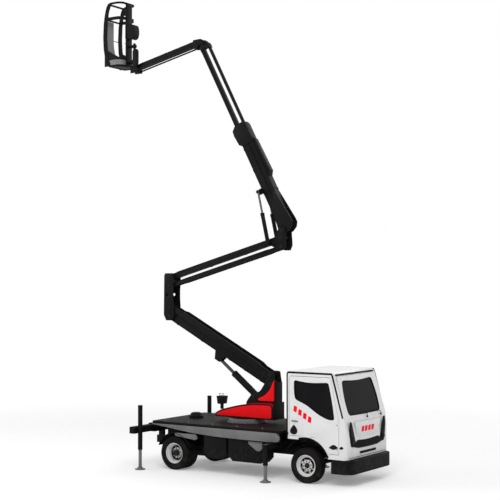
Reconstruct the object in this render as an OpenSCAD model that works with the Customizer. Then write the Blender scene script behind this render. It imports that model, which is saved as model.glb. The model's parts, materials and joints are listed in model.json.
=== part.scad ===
// Cherry picker truck: short cab-over lorry with a flat deck, four stabilisers
// and a slewing double-parallelogram boom with telescope, jib and basket.
// Millimetres, +Z up, +X forward, +Y to the left side. Wheels stand on z = 0.

/* [Truck] */
// distance between the axles
wheel_base = 3440; // [3100:20:4200]
// rolling radius of every tyre
tyre_r = 375; // [340:5:450]
// width of one front tyre
tyre_w = 205; // [185:5:225]
// half the distance between the front wheel centres
front_track = 820; // [800:5:860]
// overall width of the cab
cab_w = 1860; // [1840:10:2000]
// cab height above its floor line
cab_h = 1440; // [1300:10:1600]
// overall width of the deck
deck_w = 2040; // [2030:10:2200]

/* [Boom] */
// length of the lower parallelogram
lower_len = 3200; // [2900:20:3800]
// lower parallelogram angle above level
lower_ang = 27.65; // [20:0.05:35]
// length of the upper parallelogram
upper_len = 3240; // [2900:20:3800]
// upper parallelogram angle above level
upper_ang = 15.6; // [10:0.1:25]
// main boom length with the telescope out
boom_len = 4990; // [4400:20:5800]
// main boom angle above level
boom_ang = 62.4; // [50:0.1:70]
// jib length
jib_len = 1840; // [1500:20:2200]
// jib angle below level
jib_ang = 12.6; // [0:0.1:30]
// basket height from its sole to the top rail
basket_h = 1600; // [1100:10:1800]

/* [Hidden] */
$fn = 48;

// levels
hub_z = tyre_r;
frame_z = tyre_r + 125;
frame_h = 170;
frame_top = frame_z + frame_h;
deck_top = frame_top + 410;
deck_t = 60;
cab_z = frame_top + 250;
roof_z = cab_z + cab_h;
skirt_z = tyre_r + 185;
rear_x = -wheel_base;
play = 0.05;
gap = 8;
seat_gap = 0.3;
nose = 900;

// cab lines
cab_rear = -500;
cab_front = 985;
cab_wall = 55;
cab_half = cab_w / 2;
screen_foot = [930, cab_z + 480];
screen_top = [660, roof_z];
screen_lean = atan2(screen_top.y - screen_foot.y, screen_foot.x - screen_top.x);
screen_run = norm(screen_top - screen_foot);
corner_r = 90;
arch_r = tyre_r + 200;

// boom pivots, x then z
slew_x = -wheel_base * 0.61;
foot_p = [slew_x + 710, deck_top + 990];
lower_step = 210;
upper_step = 200;
riser_p = foot_p + lower_len * [-cos(lower_ang), sin(lower_ang)];
crown_p = riser_p + [0, 710];
head_p = crown_p + upper_len * [cos(upper_ang), sin(upper_ang)];
boom_p = head_p + [80, 290];
boom_dir = [-cos(boom_ang), sin(boom_ang)];
boom_up = [sin(boom_ang), cos(boom_ang)];
boom_drop = 80;
boom_pin = boom_p - boom_drop * boom_up;
tip_p = boom_p + boom_len * boom_dir;
jib_p = tip_p + [-180, 20];
jib_end = jib_p + jib_len * [-cos(jib_ang), -sin(jib_ang)];
post_x = jib_end.x - 100;
jib_step = 110;
jib_off = jib_step * [sin(jib_ang), -cos(jib_ang)];

// lift cylinders: fixed eye and moving eye
lower_eye = foot_p + [-440, -400];
lower_dir = [-cos(lower_ang), sin(lower_ang)];
lower_up = [sin(lower_ang), cos(lower_ang)];
arm_eye = foot_p + [0, -lower_step / 2] + 1550 * lower_dir - 225 * lower_up;
head_eye = boom_pin + [-310, -279];
boom_eye = boom_pin + 1050 * boom_dir - 100 * boom_up;

// basket
basket_x = 580;
basket_y = 620;
basket_out = post_x - 170;
basket_z = jib_end.y + 20;

// the origin is midway between basket and bumper
bumper_out = 1105;
x_shift = -(basket_out - basket_x + bumper_out) / 2;

// bores where a stranger's shackle or hook goes
tow_eye_r = 22;
harness_eye_r = 16;

// pins and plates shared by both parallelograms
pin_r = 30;
cheek_in = 125;
cheek_t = 20;

module at_origin() translate([x_shift, 0, 0]) children();

// a flat shape drawn in x and z, spread over y
module slab(y0, y1) translate([0, y1, 0]) rotate([90, 0, 0]) linear_extrude(height = y1 - y0) children();

// the same slab on both sides
module slabs(y0, y1) { slab(y0, y1) children(); slab(-y1, -y0) children(); }

module box(x0, x1, y0, y1, z0, z1) translate([x0, y0, z0]) cube([x1 - x0, y1 - y0, z1 - z0]);

module boxes(x0, x1, y0, y1, z0, z1) { box(x0, x1, y0, y1, z0, z1); box(x0, x1, -y1, -y0, z0, z1); }

// a round bar along y between two widths
module pin(p, r, y0, y1) translate([p.x, y1, p.y]) rotate([90, 0, 0]) cylinder(r = r, h = y1 - y0);

module pins(p, r, y0, y1) { pin(p, r, y0, y1); pin(p, r, -y1, -y0); }

// a round bar between two points of the x-z plane at width y
module bar(a, b, r, y) {
  d = b - a;
  translate([a.x, y, a.y]) rotate([0, atan2(d.x, d.y), 0]) cylinder(r = r, h = norm(d));
}

// frame of reference with local x running from a point at an angle above level
module heading(p, ang) translate([p.x, 0, p.y]) rotate([0, -ang, 0]) children();

// ------------------------------------------------------------ chassis
module frame() at_origin() color("dimgray") {
  rail_y = 350;
  rail_w = 70;
  rail_t = 8;
  tail = rear_x - 925;
  difference() {
    boxes(tail, nose, rail_y, rail_y + rail_w, frame_z, frame_top);
    boxes(tail - 1, nose + 1, rail_y - 1, rail_y + rail_w - rail_t, frame_z + rail_t, frame_top - rail_t);
  }
  cross_w = 80;
  cross_t = 30;
  for (x = [nose - 100, rear_x + 1250, rear_x + 700, rear_x - 600, tail + 20])
    box(x, x + cross_w, -rail_y - rail_w + rail_t, rail_y + rail_w - rail_t, frame_z + 40, frame_z + 40 + cross_t);
  eye_w = 90;
  eye_reach = 70;
  difference() {
    union() {
      box(tail - eye_reach, tail + 30, -eye_w / 2, eye_w / 2, frame_z + 40, frame_z + 40 + cross_t);
      translate([tail - eye_reach, 0, frame_z + 40]) cylinder(r = eye_w / 2, h = cross_t);
    }
    translate([tail - eye_reach, 0, frame_z]) cylinder(r = tow_eye_r, h = 100);
  }
}

kingpin_y = front_track - 160;
kingpin_r = 22;
spindle_r = 40;
rear_spindle_r = 45;
rear_outer_y = 880;
rear_inner_y = 655;
rear_tyre_w = 195;

module axles() at_origin() color("dimgray") {
  beam = 90;
  eye_r = 45;
  eye_h = 100;
  difference() {
    union() {
      box(-beam / 2, beam / 2, -kingpin_y, kingpin_y, hub_z - beam / 2, hub_z + beam / 2);
      for (s = [-1, 1]) translate([0, s * kingpin_y, hub_z - eye_h / 2]) cylinder(r = eye_r, h = eye_h);
    }
    for (s = [-1, 1])
      translate([0, s * kingpin_y, hub_z - eye_h]) cylinder(r = kingpin_r + play, h = 2 * eye_h);
  }
  tube_r = 70;
  diff_r = 165;
  tube_end = 535;
  pin([rear_x, hub_z], tube_r, -tube_end, tube_end);
  pins([rear_x, hub_z], rear_spindle_r, tube_end, 985);
  translate([rear_x - 130, 0, hub_z]) rotate([0, 90, 0]) cylinder(r = diff_r, h = 260);
}

module leaf_pack(x, z) {
  leaf_t = 13;
  for (i = [0:2])
    boxes(x - 600 + 130 * (2 - i), x + 600 - 130 * (2 - i), 352, 418, z + leaf_t * i, z + leaf_t * (i + 1));
  for (s = [-1, 1])
    boxes(x + s * 560 - 35, x + s * 560 + 35, 352, 418, z + 3 * leaf_t, frame_z);
}

module springs() at_origin() color("gray") {
  leaf_pack(0, hub_z + 45);
  leaf_pack(rear_x, hub_z + 70);
}

module engine() at_origin() color("silver") {
  box(-380, 640, -290, 290, frame_z - 20, cab_z - 60);
  box(-980, -380, -150, 150, frame_z - 40, frame_top - 10);
  translate([rear_x + 130, 0, hub_z + 100]) rotate([0, 90, 0]) cylinder(r = 45, h = -980 - rear_x - 130);
}

module side_box(x0, x1, z0, z1) {
  cut = 110;
  wall = 5;
  y0 = 600;
  y1 = deck_w / 2 - 50;
  difference() {
    slabs(y0, y1)
      polygon([[x0, z1], [x0, z0 + cut], [x0 + cut, z0], [x1 - cut, z0], [x1, z0 + cut], [x1, z1]]);
    boxes(x0 + wall, x1 - wall, y0 + wall, y1 - wall, z0 + cut, z1 + 1);
  }
}

module side_boxes() at_origin() color("dimgray") {
  low = frame_z - 150;
  high = deck_top - deck_t - 70;
  side_box(rear_x + 830, rear_x + 1430, low, high);
  side_box(rear_x + 1490, rear_x + 2440, low - 20, high);
  boxes(rear_x + 1000, rear_x + 1100, 420, 600, frame_z + 50, frame_z + 110);
  boxes(rear_x + 1850, rear_x + 1950, 420, 600, frame_z + 50, frame_z + 110);
}

deck_front = -580;
deck_rear = rear_x - 605;

module deck() at_origin() color("dimgray") {
  half = deck_w / 2;
  rim_t = 25;
  box(deck_rear, deck_front, -half, half, deck_top - deck_t, deck_top);
  slabs(half - rim_t, half)
    polygon([[deck_rear, deck_top - deck_t], [deck_rear, deck_top - deck_t - 20], [deck_front - 60, deck_top - 255],
      [deck_front, deck_top - 235], [deck_front, deck_top - deck_t]]);
  boxes(deck_rear, -960, 350, 420, frame_top, deck_top - deck_t);
  for (i = [0:3]) {
    x = rear_x + 600 + i * 500;
    boxes(x, x + 60, 420, half - rim_t, deck_top - deck_t - 60, deck_top - deck_t);
  }
  translate([rear_x - 90, 0, deck_top]) cylinder(r = 170, h = 60);
  translate([rear_x - 90, 0, deck_top + 60]) cylinder(r1 = 150, r2 = 90, h = 70);
}

front_beam_x = -800;
rear_beam_x = rear_x - 800;
beam_w = 140;
front_beam_z = frame_top + 75;
rear_beam_z = frame_top + 220;
front_beam_h = 110;
rear_beam_h = 150;
house_half = 780;
house_t = 12;

module housing(x, z, h) {
  difference() {
    box(x - beam_w / 2 - gap - house_t, x + beam_w / 2 + gap + house_t, -house_half, house_half,
      z - h / 2 - gap - house_t, z + h / 2 + gap + house_t);
    box(x - beam_w / 2 - gap, x + beam_w / 2 + gap, -house_half - 1, house_half + 1,
      z - h / 2 - gap, z + h / 2 + gap);
  }
  // wear pads that the beam slides on
  pad = 60;
  boxes(x - beam_w / 2 + 10, x + beam_w / 2 - 10, house_half - pad, house_half,
    z - h / 2 - gap - 1, z - h / 2 - seat_gap);
}

module housings() at_origin() color("dimgray") {
  housing(front_beam_x, front_beam_z, front_beam_h);
  boxes(front_beam_x - 70, front_beam_x + 70, 350, 420, front_beam_z + front_beam_h / 2 + gap + house_t,
    deck_top - deck_t);
  housing(rear_beam_x, rear_beam_z, rear_beam_h);
  boxes(rear_beam_x - 70, rear_beam_x + 70, 350, 420, frame_top, rear_beam_z - rear_beam_h / 2 - gap - house_t);
}

module guard(x, r, a0, a1, t) {
  step = (a1 - a0) / 14;
  polygon(concat([for (i = [0:14]) [x + (r + t) * cos(a0 + step * i), hub_z + (r + t) * sin(a0 + step * i)]],
    [for (i = [14:-1:0]) [x + r * cos(a0 + step * i), hub_z + r * sin(a0 + step * i)]]));
}

module mudguards() at_origin() color("dimgray") {
  slabs(545, 990) guard(rear_x, tyre_r + 75, 20, 160, 14);
  boxes(rear_x - 40, rear_x + 40, 420, 545, hub_z + tyre_r + 50, hub_z + tyre_r + 89);
  boxes(rear_x - 40, rear_x + 40, 420, 470, frame_top - 10, hub_z + tyre_r + 50);
}

// ------------------------------------------------------------ cab
module screen_cut(y0, y1, t0, t1, a, b) {
  translate([screen_foot.x, 0, screen_foot.y]) rotate([0, -(180 - screen_lean), 0])
    translate([t0 * screen_run, y0, a]) cube([(t1 - t0) * screen_run, y1 - y0, b - a]);
}

module cab_outline(g) {
  difference() {
    polygon([[cab_rear + g, cab_z], [cab_rear + g, roof_z - 60 - g], [cab_rear + g + 45, roof_z - g],
      [screen_top.x - 60 - g, roof_z - g], [screen_top.x - g * 0.9, roof_z - 55 - g],
      [screen_foot.x - g, screen_foot.y], [cab_front - g, cab_z + 60],
      [cab_front - g, skirt_z], [100 + g, skirt_z], [100 + g, cab_z]]);
    translate([0, hub_z]) circle(r = arch_r + g, $fn = 96);
  }
}

module cab_plan(g) {
  r = corner_r - g * 0.8;
  h = cab_half - g;
  x0 = cab_rear + g;
  x1 = cab_front - g;
  translate([0, 0, skirt_z - 10]) linear_extrude(height = roof_z - skirt_z + 20) union() {
    translate([x0 + r, -h]) square([x1 - x0 - 2 * r, 2 * h]);
    translate([x0, -h + r]) square([x1 - x0, 2 * h - 2 * r]);
    for (x = [x0 + r, x1 - r], y = [-h + r, h - r]) translate([x, y]) circle(r = r);
  }
}

hinge_x = 800;
door_gap = 9;

// door outline, grown all round by g
function door_points(g) = [[-400 - g, cab_z + 75 - g], [180, cab_z + 75 - g], [390, cab_z - 60 - g],
  [540 - g, skirt_z + 110 - g], [hinge_x + g, skirt_z + 110 - g], [hinge_x + g, cab_z + 440],
  [600 + g, roof_z - 110 + g], [-360, roof_z - 110 + g], [-400 - g, roof_z - 150]];

function window_points(g) = [[-310 - g, cab_z + 830 - g], [600, cab_z + 420 - g], [730 + g, cab_z + 430],
  [560 + g, roof_z - 175 + g], [-310 - g, roof_z - 160 + g]];

module cab_shell() at_origin() color("lightgray") difference() {
  intersection() {
    slab(-cab_half, cab_half) cab_outline(0);
    cab_plan(0);
  }
  intersection() {
    slab(-cab_half + cab_wall, cab_half - cab_wall) union() {
      polygon([[cab_rear + cab_wall, cab_z + cab_wall], [cab_rear + cab_wall, roof_z - cab_wall],
        [screen_top.x - 60 - cab_wall, roof_z - cab_wall], [screen_foot.x - cab_wall, screen_foot.y],
        [cab_front - cab_wall, cab_z + cab_wall]]);
      polygon([[99, skirt_z - 1], [99, cab_z - 10], [cab_front - cab_wall, cab_z - 10],
        [cab_front - cab_wall, skirt_z - 1]]);
    }
    cab_plan(cab_wall);
  }
  slabs(cab_half - cab_wall - 8, cab_half + 1) polygon(door_points(door_gap));
  screen_cut(-780, 780, 0.04, 0.86, -120, 60);
  box(cab_rear - 1, cab_rear + cab_wall + 1, -450, 450, cab_z + 830, roof_z - 190);
}

module cab_glass() at_origin() color("black") {
  fit = 0.3;
  screen_cut(-780 + fit, 780 - fit, 0.04 + 0.0003, 0.86 - 0.0003, 10, 18);
  box(cab_rear + 20, cab_rear + 28, -450 + fit, 450 - fit, cab_z + 830 + fit, roof_z - 190 - fit);
}

module door(s) {
  slab_lo = s > 0 ? cab_half - cab_wall : -cab_half;
  slab_hi = s > 0 ? cab_half : -cab_half + cab_wall;
  difference() {
    slab(slab_lo, slab_hi) polygon(door_points(0));
    slab(slab_lo - 1, slab_hi + 1) polygon(window_points(0));
  }
  // hinge barrels on the hinge line
  for (z = [skirt_z + 180, cab_z + 330])
    translate([hinge_x, s * cab_half, z]) cylinder(r = door_gap - seat_gap, h = 70);
}

module door_glass(s) {
  y = s * (cab_half - 24);
  slab(y - 3, y + 3) polygon(window_points(-0.3));
}

module door_right() at_origin() color("lightgray") door(-1);
module door_left() at_origin() color("lightgray") door(1);
module door_glass_right() at_origin() color("black") door_glass(-1);
module door_glass_left() at_origin() color("black") door_glass(1);

module bumper() at_origin() color("dimgray") {
  low = skirt_z - 300;
  half = cab_half + 12;
  r = 180;
  x0 = arch_r + 40;
  difference() {
    translate([0, 0, low]) linear_extrude(height = skirt_z - low - 0.3) difference() {
      union() {
        translate([x0, -half]) square([bumper_out - x0 - r, 2 * half]);
        translate([x0, -half + r]) square([bumper_out - x0, 2 * half - 2 * r]);
        for (y = [-half + r, half - r]) translate([bumper_out - r, y]) circle(r = r);
      }
      translate([x0 - 1, -half + 45]) square([bumper_out - x0 - 60, 2 * half - 90]);
    }
    box(x0 - 1, bumper_out + 1, -half - 1, half + 1, skirt_z + 10, skirt_z + 20);
  }
  boxes(nose + seat_gap, cab_front - cab_wall - 5, 350, 420, low + 40, frame_top);
  boxes(x0 + 290, bumper_out - 60, 350, 420, low + 40, low + 100);
  slabs(front_track - 150, cab_half - 2) guard(0, arch_r - 12.3, 32, 150, 12);
}

module seat(y) {
  box(-330, 170, y - 240, y + 240, cab_z + cab_wall, cab_z + cab_wall + 400);
  translate([-330, y, cab_z + cab_wall + 400]) rotate([0, -8, 0]) translate([0, -220, 0]) cube([110, 440, 560]);
}

module interior() at_origin() color("dimgray") {
  seat(-450);
  seat(450);
  floor_z = cab_z + cab_wall;
  difference() {
    slab(-780, 780) polygon([[620, floor_z], [620, floor_z + 470], [700, floor_z + 490],
      [screen_foot.x - cab_wall - 30, screen_foot.y - 40], [cab_front - cab_wall - 20, floor_z]]);
    slab(-760, 760) polygon([[640, floor_z - 1], [640, floor_z + 380], [850, floor_z + 350], [860, floor_z - 1]]);
  }
  translate([460, 450, floor_z + 600]) rotate([0, -60, 0]) {
    rotate_extrude() translate([200, 0]) circle(r = 16, $fn = 24);
    for (a = [0, 120, 240]) rotate([0, 0, a]) translate([0, -12, -8]) cube([200, 24, 16]);
    translate([0, 0, -240]) cylinder(r = 28, h = 250);
  }
}

// ------------------------------------------------------------ wheels
module lathe_y(y, s) translate([0, y, hub_z]) rotate([s * 90, 0, 0]) rotate_extrude($fn = 96) children();

rim_r = tyre_r * 0.6;

module tyre_profile(w) {
  h = w / 2;
  r = 34;
  polygon(concat([[rim_r, -h + 22], [rim_r + 30, -h]],
    [for (a = [-90:18:0]) [tyre_r - r + r * cos(a), -h + r + r * sin(a)]],
    [for (a = [0:18:90]) [tyre_r - r + r * cos(a), h - r + r * sin(a)]],
    [[rim_r + 30, h], [rim_r, h - 22]]));
}

module rim_profile(w, bore, hub0, hub1, dish) {
  h = w / 2 - 6;
  t = 12;
  difference() {
    union() {
      translate([rim_r - t, -h]) square([t, 2 * h]);
      translate([bore, dish - 8]) square([rim_r - bore - 2, 16]);
      translate([bore, hub0]) square([52, hub1 - hub0]);
    }
    translate([rim_r * 0.62, dish - 9]) square([22, 0.01]);
  }
}

module tyre(x, y, w) at_origin() color("dimgray") translate([x, 0, 0]) lathe_y(y, 1) tyre_profile(w);

// s: which side; local +y of the profile faces outward on both sides
module rim(x, y, w, bore, hub0, hub1, dish) color("lightgray") at_origin() translate([x, 0, 0])
  lathe_y(y, y > 0 ? -1 : 1) rim_profile(w, bore, hub0, hub1, dish);

module tyre_front_right() tyre(0, -front_track, tyre_w);
module tyre_front_left() tyre(0, front_track, tyre_w);
module rim_front_right() rim(0, -front_track, tyre_w, spindle_r + play, -40, 82, 30);
module rim_front_left() rim(0, front_track, tyre_w, spindle_r + play, -40, 82, 30);

module tyre_rear(s) {
  tyre(rear_x, s * rear_outer_y, rear_tyre_w);
  tyre(rear_x, s * rear_inner_y, rear_tyre_w);
}

module rim_rear(s) {
  bore = rear_spindle_r + play;
  rim(rear_x, s * rear_outer_y, rear_tyre_w, bore, -228, 80, -30);
  rim(rear_x, s * rear_inner_y, rear_tyre_w, bore, -90, -3.5, 30);
}

module tyre_rear_right() tyre_rear(-1);
module tyre_rear_left() tyre_rear(1);
module rim_rear_right() rim_rear(-1);
module rim_rear_left() rim_rear(1);

module knuckle(s) at_origin() color("gray") {
  ear_z = 55;
  ear_t = 25;
  y = s * kingpin_y;
  translate([0, y, hub_z - ear_z - ear_t]) cylinder(r = kingpin_r, h = 2 * (ear_z + ear_t));
  for (z = [hub_z - ear_z - ear_t, hub_z + ear_z]) {
    translate([0, y, z]) cylinder(r = 45, h = ear_t);
    box(-45, 45, s > 0 ? y : y - 75, s > 0 ? y + 75 : y, z, z + ear_t);
  }
  box(-45, 45, s > 0 ? y + 55 : y - 80, s > 0 ? y + 80 : y - 55, hub_z - ear_z - ear_t, hub_z + ear_z + ear_t);
  pin([0, hub_z], spindle_r, s > 0 ? y + 60 : y - 245, s > 0 ? y + 245 : y - 60);
}

module knuckle_right() knuckle(-1);
module knuckle_left() knuckle(1);

// ------------------------------------------------------------ stabilisers
leg_r = 38;
jack_wall = 14;
front_jack_y = 1250;
rear_jack_y = 1350;
front_tube = [frame_z - 140, frame_top + 130];
rear_tube = [frame_z - 50, deck_top + 370];

module jack_tube(x, y, z0, z1) {
  difference() {
    translate([x, y, z0]) cylinder(r = leg_r + jack_wall, h = z1 - z0);
    translate([x, y, z0 - 1]) cylinder(r = leg_r + play, h = z1 - z0 - 20);
  }
}

module front_beam(s) at_origin() color("dimgray") {
  y_in = 450;
  y_out = front_jack_y - leg_r - 4;
  difference() {
    box(front_beam_x - beam_w / 2, front_beam_x + beam_w / 2, s > 0 ? y_in : -y_out, s > 0 ? y_out : -y_in,
      front_beam_z - front_beam_h / 2, front_beam_z + front_beam_h / 2);
    box(front_beam_x - beam_w / 2 + 10, front_beam_x + beam_w / 2 - 10, s > 0 ? y_in - 1 : -y_out + 60,
      s > 0 ? y_out - 60 : -y_in + 1, front_beam_z - front_beam_h / 2 + 10, front_beam_z + front_beam_h / 2 - 10);
  }
  jack_tube(front_beam_x, s * front_jack_y, front_tube.x, front_tube.y);
}

rear_jack_x = rear_beam_x + beam_w / 2 + leg_r + jack_wall;

module rear_beam(s) at_origin() color("dimgray") {
  y_in = 450;
  y_out = rear_jack_y + 150;
  difference() {
    box(rear_beam_x - beam_w / 2, rear_beam_x + beam_w / 2, s > 0 ? y_in : -y_out, s > 0 ? y_out : -y_in,
      rear_beam_z - rear_beam_h / 2, rear_beam_z + rear_beam_h / 2);
    box(rear_beam_x - beam_w / 2 + 10, rear_beam_x + beam_w / 2 - 10, s > 0 ? y_in - 1 : -y_out + 60,
      s > 0 ? y_out - 60 : -y_in + 1, rear_beam_z - rear_beam_h / 2 + 10, rear_beam_z + rear_beam_h / 2 - 10);
  }
  jack_tube(rear_jack_x, s * rear_jack_y, rear_tube.x, rear_tube.y);
  box(rear_beam_x + beam_w / 2, rear_jack_x, s * rear_jack_y - 45, s * rear_jack_y - leg_r - 2,
    rear_beam_z - 60, rear_beam_z + 60);
  box(rear_beam_x + beam_w / 2, rear_jack_x, s * rear_jack_y + leg_r + 2, s * rear_jack_y + 45,
    rear_beam_z - 60, rear_beam_z + 60);
}

module jack(x, y, top) at_origin() color("gray") {
  pad_r = 120;
  pad_t = 25;
  translate([x, y, 0]) cylinder(r = pad_r, h = pad_t);
  translate([x, y, pad_t]) cylinder(r = leg_r, h = top - pad_t);
}

module beam_front_right() front_beam(-1);
module beam_front_left() front_beam(1);
module beam_rear_right() rear_beam(-1);
module beam_rear_left() rear_beam(1);
module jack_front_right() jack(front_beam_x, -front_jack_y, front_tube.x + 160);
module jack_front_left() jack(front_beam_x, front_jack_y, front_tube.x + 160);
module jack_rear_right() jack(rear_jack_x, -rear_jack_y, rear_tube.x + 200);
module jack_rear_left() jack(rear_jack_x, rear_jack_y, rear_tube.x + 200);

// ------------------------------------------------------------ turret
ring_r = 420;
turret_z = deck_top + 100;
turret_half = 230;

module slew_base() at_origin() color("gray") {
  translate([slew_x, 0, deck_top]) cylinder(r = ring_r, h = 91.7, $fn = 96);
}

turret_front = foot_p.x + 120;

function turret_low(g) = [[turret_front - g, turret_z + g], [turret_front - g, turret_z + 360 - g],
  [foot_p.x - 440, turret_z + 350 - g], [foot_p.x - 800, turret_z + 290 - g],
  [foot_p.x - 1240, turret_z + 180 - g], [foot_p.x - 1400 + g, turret_z + 110 - g], [foot_p.x - 1450 + g, turret_z + 50],
  [foot_p.x - 1420 + g, turret_z + g]];

module turret() at_origin() color("red") {
  difference() {
    slab(-turret_half, turret_half) polygon(turret_low(0));
    slab(-turret_half + 14, turret_half - 14) polygon(turret_low(14));
  }
  slabs(cheek_in, cheek_in + cheek_t) polygon([[turret_front, turret_z + 360], [turret_front + 5, foot_p.y - 60],
    [foot_p.x + 90, foot_p.y + 180], [foot_p.x - 60, foot_p.y + 190], [foot_p.x - 130, foot_p.y - 60],
    [foot_p.x - 260, foot_p.y - 250], lower_eye + [70, 75], lower_eye + [-40, 80], lower_eye + [-90, 20],
    [foot_p.x - 640, foot_p.y - 520], [foot_p.x - 640, turret_z + 310], [foot_p.x - 440, turret_z + 350]]);
}

module turret_frame() at_origin() color("dimgray") {
  translate([slew_x, 0, deck_top + 92]) cylinder(r = ring_r - 40, h = turret_z - deck_top - 92, $fn = 96);
  pin(foot_p - [0, lower_step / 2], pin_r, -cheek_in, cheek_in);
  pins(foot_p + [0, lower_step / 2], pin_r, 88, cheek_in);
  pin(lower_eye, pin_r, -cheek_in, cheek_in);
  slab(-turret_half, turret_half) polygon([[turret_front, turret_z], [turret_front + 20, turret_z],
    [turret_front + 20, turret_z + 380], [turret_front + 5, turret_z + 380], [turret_front + 5, turret_z + 360],
    [turret_front, turret_z + 360]]);
  slab(-cheek_in - cheek_t, cheek_in + cheek_t) polygon([[turret_front + 5, turret_z + 380],
    [turret_front + 20, turret_z + 380], [turret_front + 20, foot_p.y - 60], [turret_front + 5, foot_p.y - 60]]);
}

module control_post() at_origin() color("dimgray") {
  x = foot_p.x - 1290;
  box(x - 30, x + 30, -200, -140, turret_z + 171.6, turret_z + 300);
  slab(-270, -70) polygon([[x - 60, turret_z + 290], [x + 70, turret_z + 290], [x + 100, turret_z + 470],
    [x - 90, turret_z + 470]]);
}

// ------------------------------------------------------------ lower parallelogram
arm_d = 180;
arm_w = 160;
tie_d = 160;

module eye_plate(p, r, bore, y0, y1) difference() {
  pin(p, r, y0, y1);
  pin(p, bore, y0 - 1, y1 + 1);
}

module lower_arm() at_origin() color("dimgray") {
  a = foot_p - [0, lower_step / 2];
  heading(a, 180 - lower_ang) difference() {
    union() {
      box(0, lower_len, -arm_w / 2, arm_w / 2, -arm_d / 2, arm_d / 2);
      for (x = [0, lower_len]) pin([x, 0], arm_d / 2, -arm_w / 2, arm_w / 2);
    }
    box(150, lower_len - 150, -arm_w / 2 + 8, arm_w / 2 - 8, -arm_d / 2 + 8, arm_d / 2 - 8);
    for (x = [0, lower_len]) pin([x, 0], pin_r + play, -arm_w, arm_w);
  }
  heading(a, 180 - lower_ang) slabs(55, 75)
    polygon([[1400, arm_d / 2 - 1], [1700, arm_d / 2 - 1], [1625, 275], [1475, 275]]);
}

module tie_shape(len, d_mid, d_end, step) {
  polygon([[0, -d_end / 2], [step, -d_end / 2], [step + 120, -d_mid / 2], [len - step - 120, -d_mid / 2],
    [len - step, -d_end / 2], [len, -d_end / 2], [len, d_end / 2], [len - step, d_end / 2],
    [len - step - 120, d_mid / 2], [step + 120, d_mid / 2], [step, d_end / 2], [0, d_end / 2]]);
}

module lower_tie() at_origin() color("dimgray") {
  heading(foot_p + [0, lower_step / 2], 180 - lower_ang) difference() {
    union() {
      slabs(90, 115) tie_shape(lower_len, tie_d, 100, 300);
      for (x = [0, lower_len]) pins([x, 0], 50, 90, 115);
    }
    for (x = [0, lower_len]) pin([x, 0], pin_r + play, -120, 120);
  }
}

lower_span = arm_eye - lower_eye;
lower_reach = norm(lower_span);

module lower_barrel() at_origin() color("dimgray") {
  d = lower_span / lower_reach;
  difference() {
    union() {
      bar(lower_eye, lower_eye + 800 * d, 75, 0);
      pin(lower_eye, 95, -60, 60);
    }
    bar(lower_eye + 110 * d, lower_eye + 900 * d, 40 + play, 0);
    pin(lower_eye, pin_r + play, -200, 200);
  }
}

module lower_rod() at_origin() color("silver") {
  d = lower_span / lower_reach;
  difference() {
    union() {
      bar(lower_eye + 440 * d, arm_eye, 40, 0);
      pin(arm_eye, 45, -45, 45);
    }
    pin(arm_eye, 24, -46, 46);
  }
}

// ------------------------------------------------------------ riser and upper parallelogram
upper_d = 130;
upper_w = 140;
upper_tie_d = 100;

module riser() at_origin() color("dimgray") {
  x = riser_p.x;
  y1 = cheek_in + cheek_t;
  low = riser_p.y - lower_step / 2;
  high = crown_p.y + upper_step / 2;
  difference() {
    slabs(cheek_in, y1) polygon([[x - 90, low - 110], [x + 70, low - 110], [x + 140, low - 20], [x + 110, low + 400],
      [x + 110, high - 330], [x + 130, high - 60], [x + 100, high + 90], [x - 120, high + 90], [x - 150, high + 40],
      [x - 160, low + 20]]);
    translate([x - 60, 0, (low + high) / 2 + 40]) rotate([90, 0, 0]) cylinder(r = 34, h = 400, center = true);
  }
  box(x - 150, x - 138, -cheek_in, cheek_in, low + 250, high - 170);
  pin([x, low], pin_r, -cheek_in, cheek_in);
  pins([x, low + lower_step], pin_r, 88, cheek_in);
  pin([x, high], pin_r, -cheek_in, cheek_in);
  pins([x, high - upper_step], pin_r, 78, cheek_in);
}

module upper_arm() at_origin() color("dimgray") {
  heading(crown_p + [0, upper_step / 2], upper_ang) difference() {
    union() {
      box(0, upper_len, -upper_w / 2, upper_w / 2, -upper_d / 2, upper_d / 2);
      for (x = [0, upper_len]) pin([x, 0], upper_d / 2, -upper_w / 2, upper_w / 2);
    }
    box(120, upper_len - 120, -upper_w / 2 + 7, upper_w / 2 - 7, -upper_d / 2 + 7, upper_d / 2 - 7);
    for (x = [0, upper_len]) pin([x, 0], pin_r + play, -upper_w, upper_w);
  }
}

module upper_tie() at_origin() color("dimgray") {
  heading(crown_p - [0, upper_step / 2], upper_ang) difference() {
    union() {
      slabs(80, 100) tie_shape(upper_len, upper_tie_d, 84, 300);
      for (x = [0, upper_len]) pins([x, 0], 42, 80, 100);
    }
    for (x = [0, upper_len]) pin([x, 0], pin_r + play, -120, 120);
  }
}

// ------------------------------------------------------------ head and main boom
boom_d = 260;
boom_w = 190;
boom_back = 165;
inner_w = 110;
inner_z = [30, 120];
rail_w = 44;
rail_z = [-140, -70];
tip_w = 140;
boom_out_len = 2720;
side_y = 205;

module head() at_origin() color("dimgray") {
  y1 = cheek_in + cheek_t;
  x = head_p.x;
  z = head_p.y;
  slabs(cheek_in, y1) polygon([[x - 60, z - 180], [x + 80, z - 180], [x + 130, z - 60], [x + 110, z + 200],
    [boom_pin.x + 90, boom_pin.y + 90], [boom_pin.x - 60, boom_pin.y + 90], [x - 150, z + 130],
    [head_eye.x - 60, head_eye.y + 40], [head_eye.x - 60, head_eye.y - 50], [head_eye.x + 60, head_eye.y - 60]]);
  pin([x, z + upper_step / 2], pin_r, -cheek_in, cheek_in);
  pins([x, z - upper_step / 2], pin_r, 78, cheek_in);
  pin(boom_pin, pin_r, -cheek_in, cheek_in);
  pins(head_eye, 24, y1, side_y + 45);
}

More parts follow.
